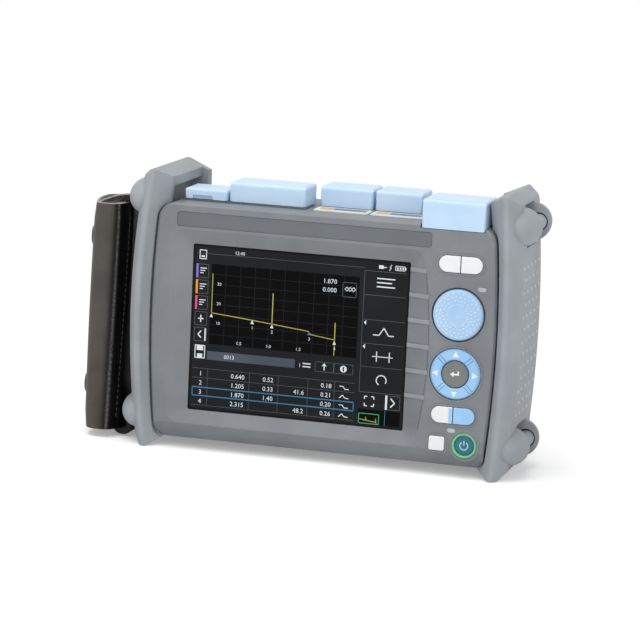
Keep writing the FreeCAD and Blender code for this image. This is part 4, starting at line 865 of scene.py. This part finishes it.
def sleeveShape(share, inset):
    # centre and half sizes of the sleeve's section; share is 0 at the foot and 1 at the top
    nearEnd = max(0.0, 1 - share * sleeve["pinchEnds"]) + max(0.0, 1 - (1 - share) * sleeve["pinchEnds"])
    grow = (sleeve["puff"] * (math.sin(math.pi * share) - 1) - sleeve["pinch"] * nearEnd) * mm - inset
    x0 = padLow.x + (sleeve["topLean"] * share + sleeve["sideGap"]) * mm
    centre = Vector(((x0 + padHigh.x) / 2, (padLow.y + padHigh.y) / 2, 0))
    return centre, (padHigh.x - x0) / 2 + grow, (padHigh.y - padLow.y) / 2 + grow


def flapFront(share):
    # the flap's front edge runs towards the instrument on its way up
    return between(flap["frontFoot"], flap["frontTop"], share)


def underFlap(degrees, share):
    # 1 where the flap lies on the sleeve, falling to 0 beyond its edges
    edge = flapFront(share) if degrees < 0 else flap["backEdge"]
    return min(1.0, max(0.0, (abs(degrees) - edge + 7) / 5))


def makeSleeve():
    # one closed skin: outer leather, cut edges at both ends and the suede lining
    wall, rim, rows = sleeve["wall"] * mm, sleeve["rim"] * mm, sleeve["rows"]
    outside = [(i / rows, 0.0, 0) for i in range(rows + 1)]        # share of the height, inset, finish
    topEdge = [(1.004, rim * 0.35, 1), (1.004, rim, 1), (0.996, wall, 1)]
    lining = [(i / rows, wall, 2) for i in range(rows, -1, -1)]
    footEdge = [(-0.003, wall * 0.6, 1), (-0.003, rim * 0.4, 1)]
    profile = outside + topEdge + lining + footEdge
    build = bmesh.new()
    rings = []
    for share, inset, _ in profile:
        level = min(1.0, max(0.0, share))
        ring = []
        for k in range(sleeve["around"]):
            angle = 2 * math.pi * k / sleeve["around"]
            degrees = (math.degrees(angle) + 180) % 360 - 180
            sunk = flap["thick"] * mm * underFlap(degrees, level) * (1 - inset / wall)
            p = ovalPoint(angle, *sleeveShape(level, inset + sunk))
            wave = sleeve["wave"] * math.sin(3 * math.pi * share + 0.7 * k) * math.sin(math.pi * level)
            p.z = (padLow.z + share * (padHeight - 2 * sleeve["endGap"] * mm)
                   + (sleeve["endGap"] + sleeve["topTilt"] * math.cos(angle) * share + wave) * mm)
            ring.append(build.verts.new(p))
        rings.append(ring)
    for i, ring in enumerate(rings):
        following = (i + 1) % len(rings)
        bridge(build, ring, rings[following], profile[following][2])
    piece = place("leather_sleeve", build, [blackLeather, tanEdge, suede], root, smooth=True)
    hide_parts("hand_pad")


def wearAt(degrees, share):
    # painted highlight on the grain tops, and taupe painted sheen that darkens again as painted shade at the
    # far side, at a place on the flap
    streak = (degrees + between(flap["streakFoot"], flap["streakTop"], share)) / flap["streakWide"]
    past = (-degrees - between(flap["fadeFoot"], flap["fadeTop"], share)) / flap["fadeWide"]
    far = min(1.0, max(0.0, (-degrees - flap["shadeFrom"]) / flap["shadeWide"]))
    return math.exp(-streak ** 2), (1 - flap["shadeDepth"] * far) / (1 + math.exp(-3 * past))


def makeFlap():
    # outer leaf of the sleeve: sewn down in front, it wraps the outside and closes with the two studs
    rows, columns = sleeve["rows"], flap["columns"]
    build = bmesh.new()
    grids = []
    paintedLight = []
    for inset in (0.0, flap["thick"] * mm):
        grid = []
        for i in range(rows + 1):
            share = i / rows
            line = []
            for k in range(columns + 1):
                degrees = between(-flapFront(share), flap["backEdge"] - 360, k / columns)
                angle = math.radians(degrees)
                p = ovalPoint(angle, *sleeveShape(share, inset))
                lift = flap["rise"] * max(0.0, -math.cos(angle)) ** 8 * share ** 8
                p.z = (padLow.z + share * (padHeight - 2 * flap["endGap"] * mm)
                       + (flap["endGap"] + lift) * mm)
                line.append(build.verts.new(p))
                paintedLight.append(wearAt(degrees, share))
            grid.append(line)
        grids.append(grid)
    outer, inner = grids
    for i in range(rows):
        bridge(build, outer[i], outer[i + 1], closed=False)
        bridge(build, inner[i + 1], inner[i], 2, closed=False)
    for i in (0, rows):
        bridge(build, outer[i], inner[i], 1, closed=False)
    for k in (0, columns):
        bridge(build, [line[k] for line in outer], [line[k] for line in inner], 3, closed=False)
    for edge in build.edges:
        if len({face.material_index for face in edge.link_faces}) > 1:
            edge.smooth = False
    piece = place("sleeve_flap", build, [blackLeather, tanEdge, suede, blackEdge], root, smooth=True)
    # paint light onto the flap: the highlight streak and the taupe sheen with its shaded far side, as mesh
    # attributes for the leather
    for name, values in zip(("polish", "fade"), zip(*paintedLight)):
        piece.data.attributes.new(name, "FLOAT", "POINT").data.foreach_set("value", values)


def addStitch(build, a, b, radius):
    # one stitch: a short thread that dips into the leather at both ends
    axis = (b - a).normalized()
    side = axis.orthogonal().normalized()
    rings = [addRing(build, a.lerp(b, t), side, axis.cross(side), radius * size, 6)
             for t, size in ((0, 0.35), (0.2, 0.9), (0.5, 1.0), (0.8, 0.9), (1, 0.35))]
    for low, high in zip(rings, rings[1:]):
        bridge(build, low, high)
    build.faces.new(rings[0][::-1])
    build.faces.new(rings[-1])


def sewSleeve():
    # one row of stitches runs along the flap's front edge, the other straight down the back
    build = bmesh.new()
    for foot, top in ((stitches["frontFoot"], stitches["frontTop"]), (stitches["back"], stitches["back"])):
        z = padLow.z + stitches["fromFoot"] * mm
        while z < padHigh.z - stitches["fromTop"] * mm:
            ends = []
            for level in (z, z + stitches["length"] * mm):
                share = (level - padLow.z) / padHeight
                angle = math.radians(between(foot, top, share))
                p = ovalPoint(angle, *sleeveShape(share, -stitches["lift"] * mm))
                p.z = level
                ends.append(p)
            addStitch(build, ends[0], ends[1], stitches["radius"] * mm)
            z += stitches["pitch"] * mm
    place("sleeve_stitches", build, [threadGrey], root, smooth=True)


makeSleeve()
makeFlap()
sewSleeve()
print("hand strap done")

studio = {"floorSize": 6.0, "floorGap": 0.0002, "nearFloor": 0.2, "farFloor": 0.45, "floorLift": 0.28,
          "surround": 0.52, "aimAt": (0, 0, 0.07),
          "keyAt": (-0.25, -0.6, 2.0), "keySize": 1.6, "keyWatts": 23,
          "fillAt": (1.0, -1.7, 0.25), "fillSize": 1.6, "fillWatts": 9}


def makeFloor():
    # white paper sweep: it keeps the instrument's soft shadow and runs out into the white surround
    build = bmesh.new()
    half = studio["floorSize"] / 2
    corners = ((-half, -half), (half, -half), (half, half), (-half, half))
    build.faces.new([build.verts.new((x, y, -studio["floorGap"])) for x, y in corners])
    mesh = bpy.data.meshes.new("floor")
    build.to_mesh(mesh)
    build.free()
    floor = bpy.data.objects.new("floor", mesh)
    bpy.context.scene.collection.objects.link(floor)
    material, tree, where = newTree("paperFloor")
    fibres = addNode(tree, "TexNoise", {"Vector": where}, Scale=1 / (3 * mm), Detail=3.0)
    paper = addNode(tree, "BsdfDiffuse", {"Color": tones(tree, fibres.outputs["Fac"], "#f8f8f8", "#fdfdfd")})
    path = addNode(tree, "LightPath")
    lift = addNode(tree, "Math", {0: path.outputs["Is Camera Ray"], 1: studio["floorLift"]},
                   operation="MULTIPLY")
    glow = addNode(tree, "Emission", {"Strength": lift.outputs[0]}, Color=(1, 1, 1, 1))
    near = addNode(tree, "AddShader", {0: paper.outputs[0], 1: glow.outputs[0]})
    away = addNode(tree, "VectorMath", {0: where}, operation="LENGTH")
    fade = addNode(tree, "MapRange", {"Value": away.outputs["Value"]}, interpolation_type="SMOOTHSTEP",
                   From_Min=studio["nearFloor"], From_Max=studio["farFloor"])
    white = addNode(tree, "Emission", Color=(1, 1, 1, 1), Strength=1.0)
    mix = addNode(tree, "MixShader", {0: fade.outputs["Result"], 1: near.outputs[0], 2: white.outputs[0]})
    mesh.materials.append(finished(material, mix))


def addLamp(name, spotAt, size, watts):
    light = bpy.data.lights.new(name, "AREA")
    light.size = size
    light.energy = watts
    lamp = bpy.data.objects.new(name, light)
    lamp.location = spotAt
    lamp.rotation_euler = (Vector(studio["aimAt"]) - Vector(spotAt)).to_track_quat("-Z", "Y").to_euler()
    bpy.context.scene.collection.objects.link(lamp)


def makeWorld():
    # even pale surround; shown as plain white to the camera, in gloss and through clear parts
    world = bpy.data.worlds.new("studioWhite")
    bpy.context.scene.world = world
    world.use_nodes = True
    tree = world.node_tree
    tree.nodes.clear()
    path = addNode(tree, "LightPath")
    seen = path.outputs["Is Camera Ray"]
    for ray in ("Is Glossy Ray", "Is Transmission Ray"):
        seen = addNode(tree, "Math", {0: seen, 1: path.outputs[ray]}, operation="MAXIMUM").outputs[0]
    soft = addNode(tree, "Background", Color=(1, 1, 1, 1), Strength=studio["surround"])
    white = addNode(tree, "Background", Color=(1, 1, 1, 1), Strength=1.0)
    mix = addNode(tree, "MixShader", {0: seen, 1: soft.outputs[0], 2: white.outputs[0]})
    addNode(tree, "OutputWorld", {"Surface": mix.outputs[0]})


camera = {"target": (9.9, -19.2, 74.5), "distance": 1600,          # mm
          "azimuth": 15.03, "elevation": 9.97, "roll": 2.69,       # degrees
          "lens": 172.3, "sensor": 36}


def makeCamera():
    azimuth, elevation = math.radians(camera["azimuth"]), math.radians(camera["elevation"])
    away = Vector((math.sin(azimuth) * math.cos(elevation), -math.cos(azimuth) * math.cos(elevation),
                   math.sin(elevation)))
    data = bpy.data.cameras.new("camera")
    data.lens = camera["lens"]
    data.sensor_width = camera["sensor"]
    data.clip_end = 20
    holder = bpy.data.objects.new("camera", data)
    turn = away.to_track_quat("Z", "Y").to_matrix() @ Matrix.Rotation(math.radians(camera["roll"]), 3, "Z")
    stand = Vector(camera["target"]) * mm + away * camera["distance"] * mm
    holder.matrix_world = Matrix.Translation(stand) @ turn.to_4x4()
    bpy.context.scene.collection.objects.link(holder)
    bpy.context.scene.camera = holder


makeFloor()
makeWorld()
addLamp("keyLamp", studio["keyAt"], studio["keySize"], studio["keyWatts"])
addLamp("fillLamp", studio["fillAt"], studio["fillSize"], studio["fillWatts"])
makeCamera()
bpy.context.scene.view_settings.view_transform = "Standard"
print("studio ready")
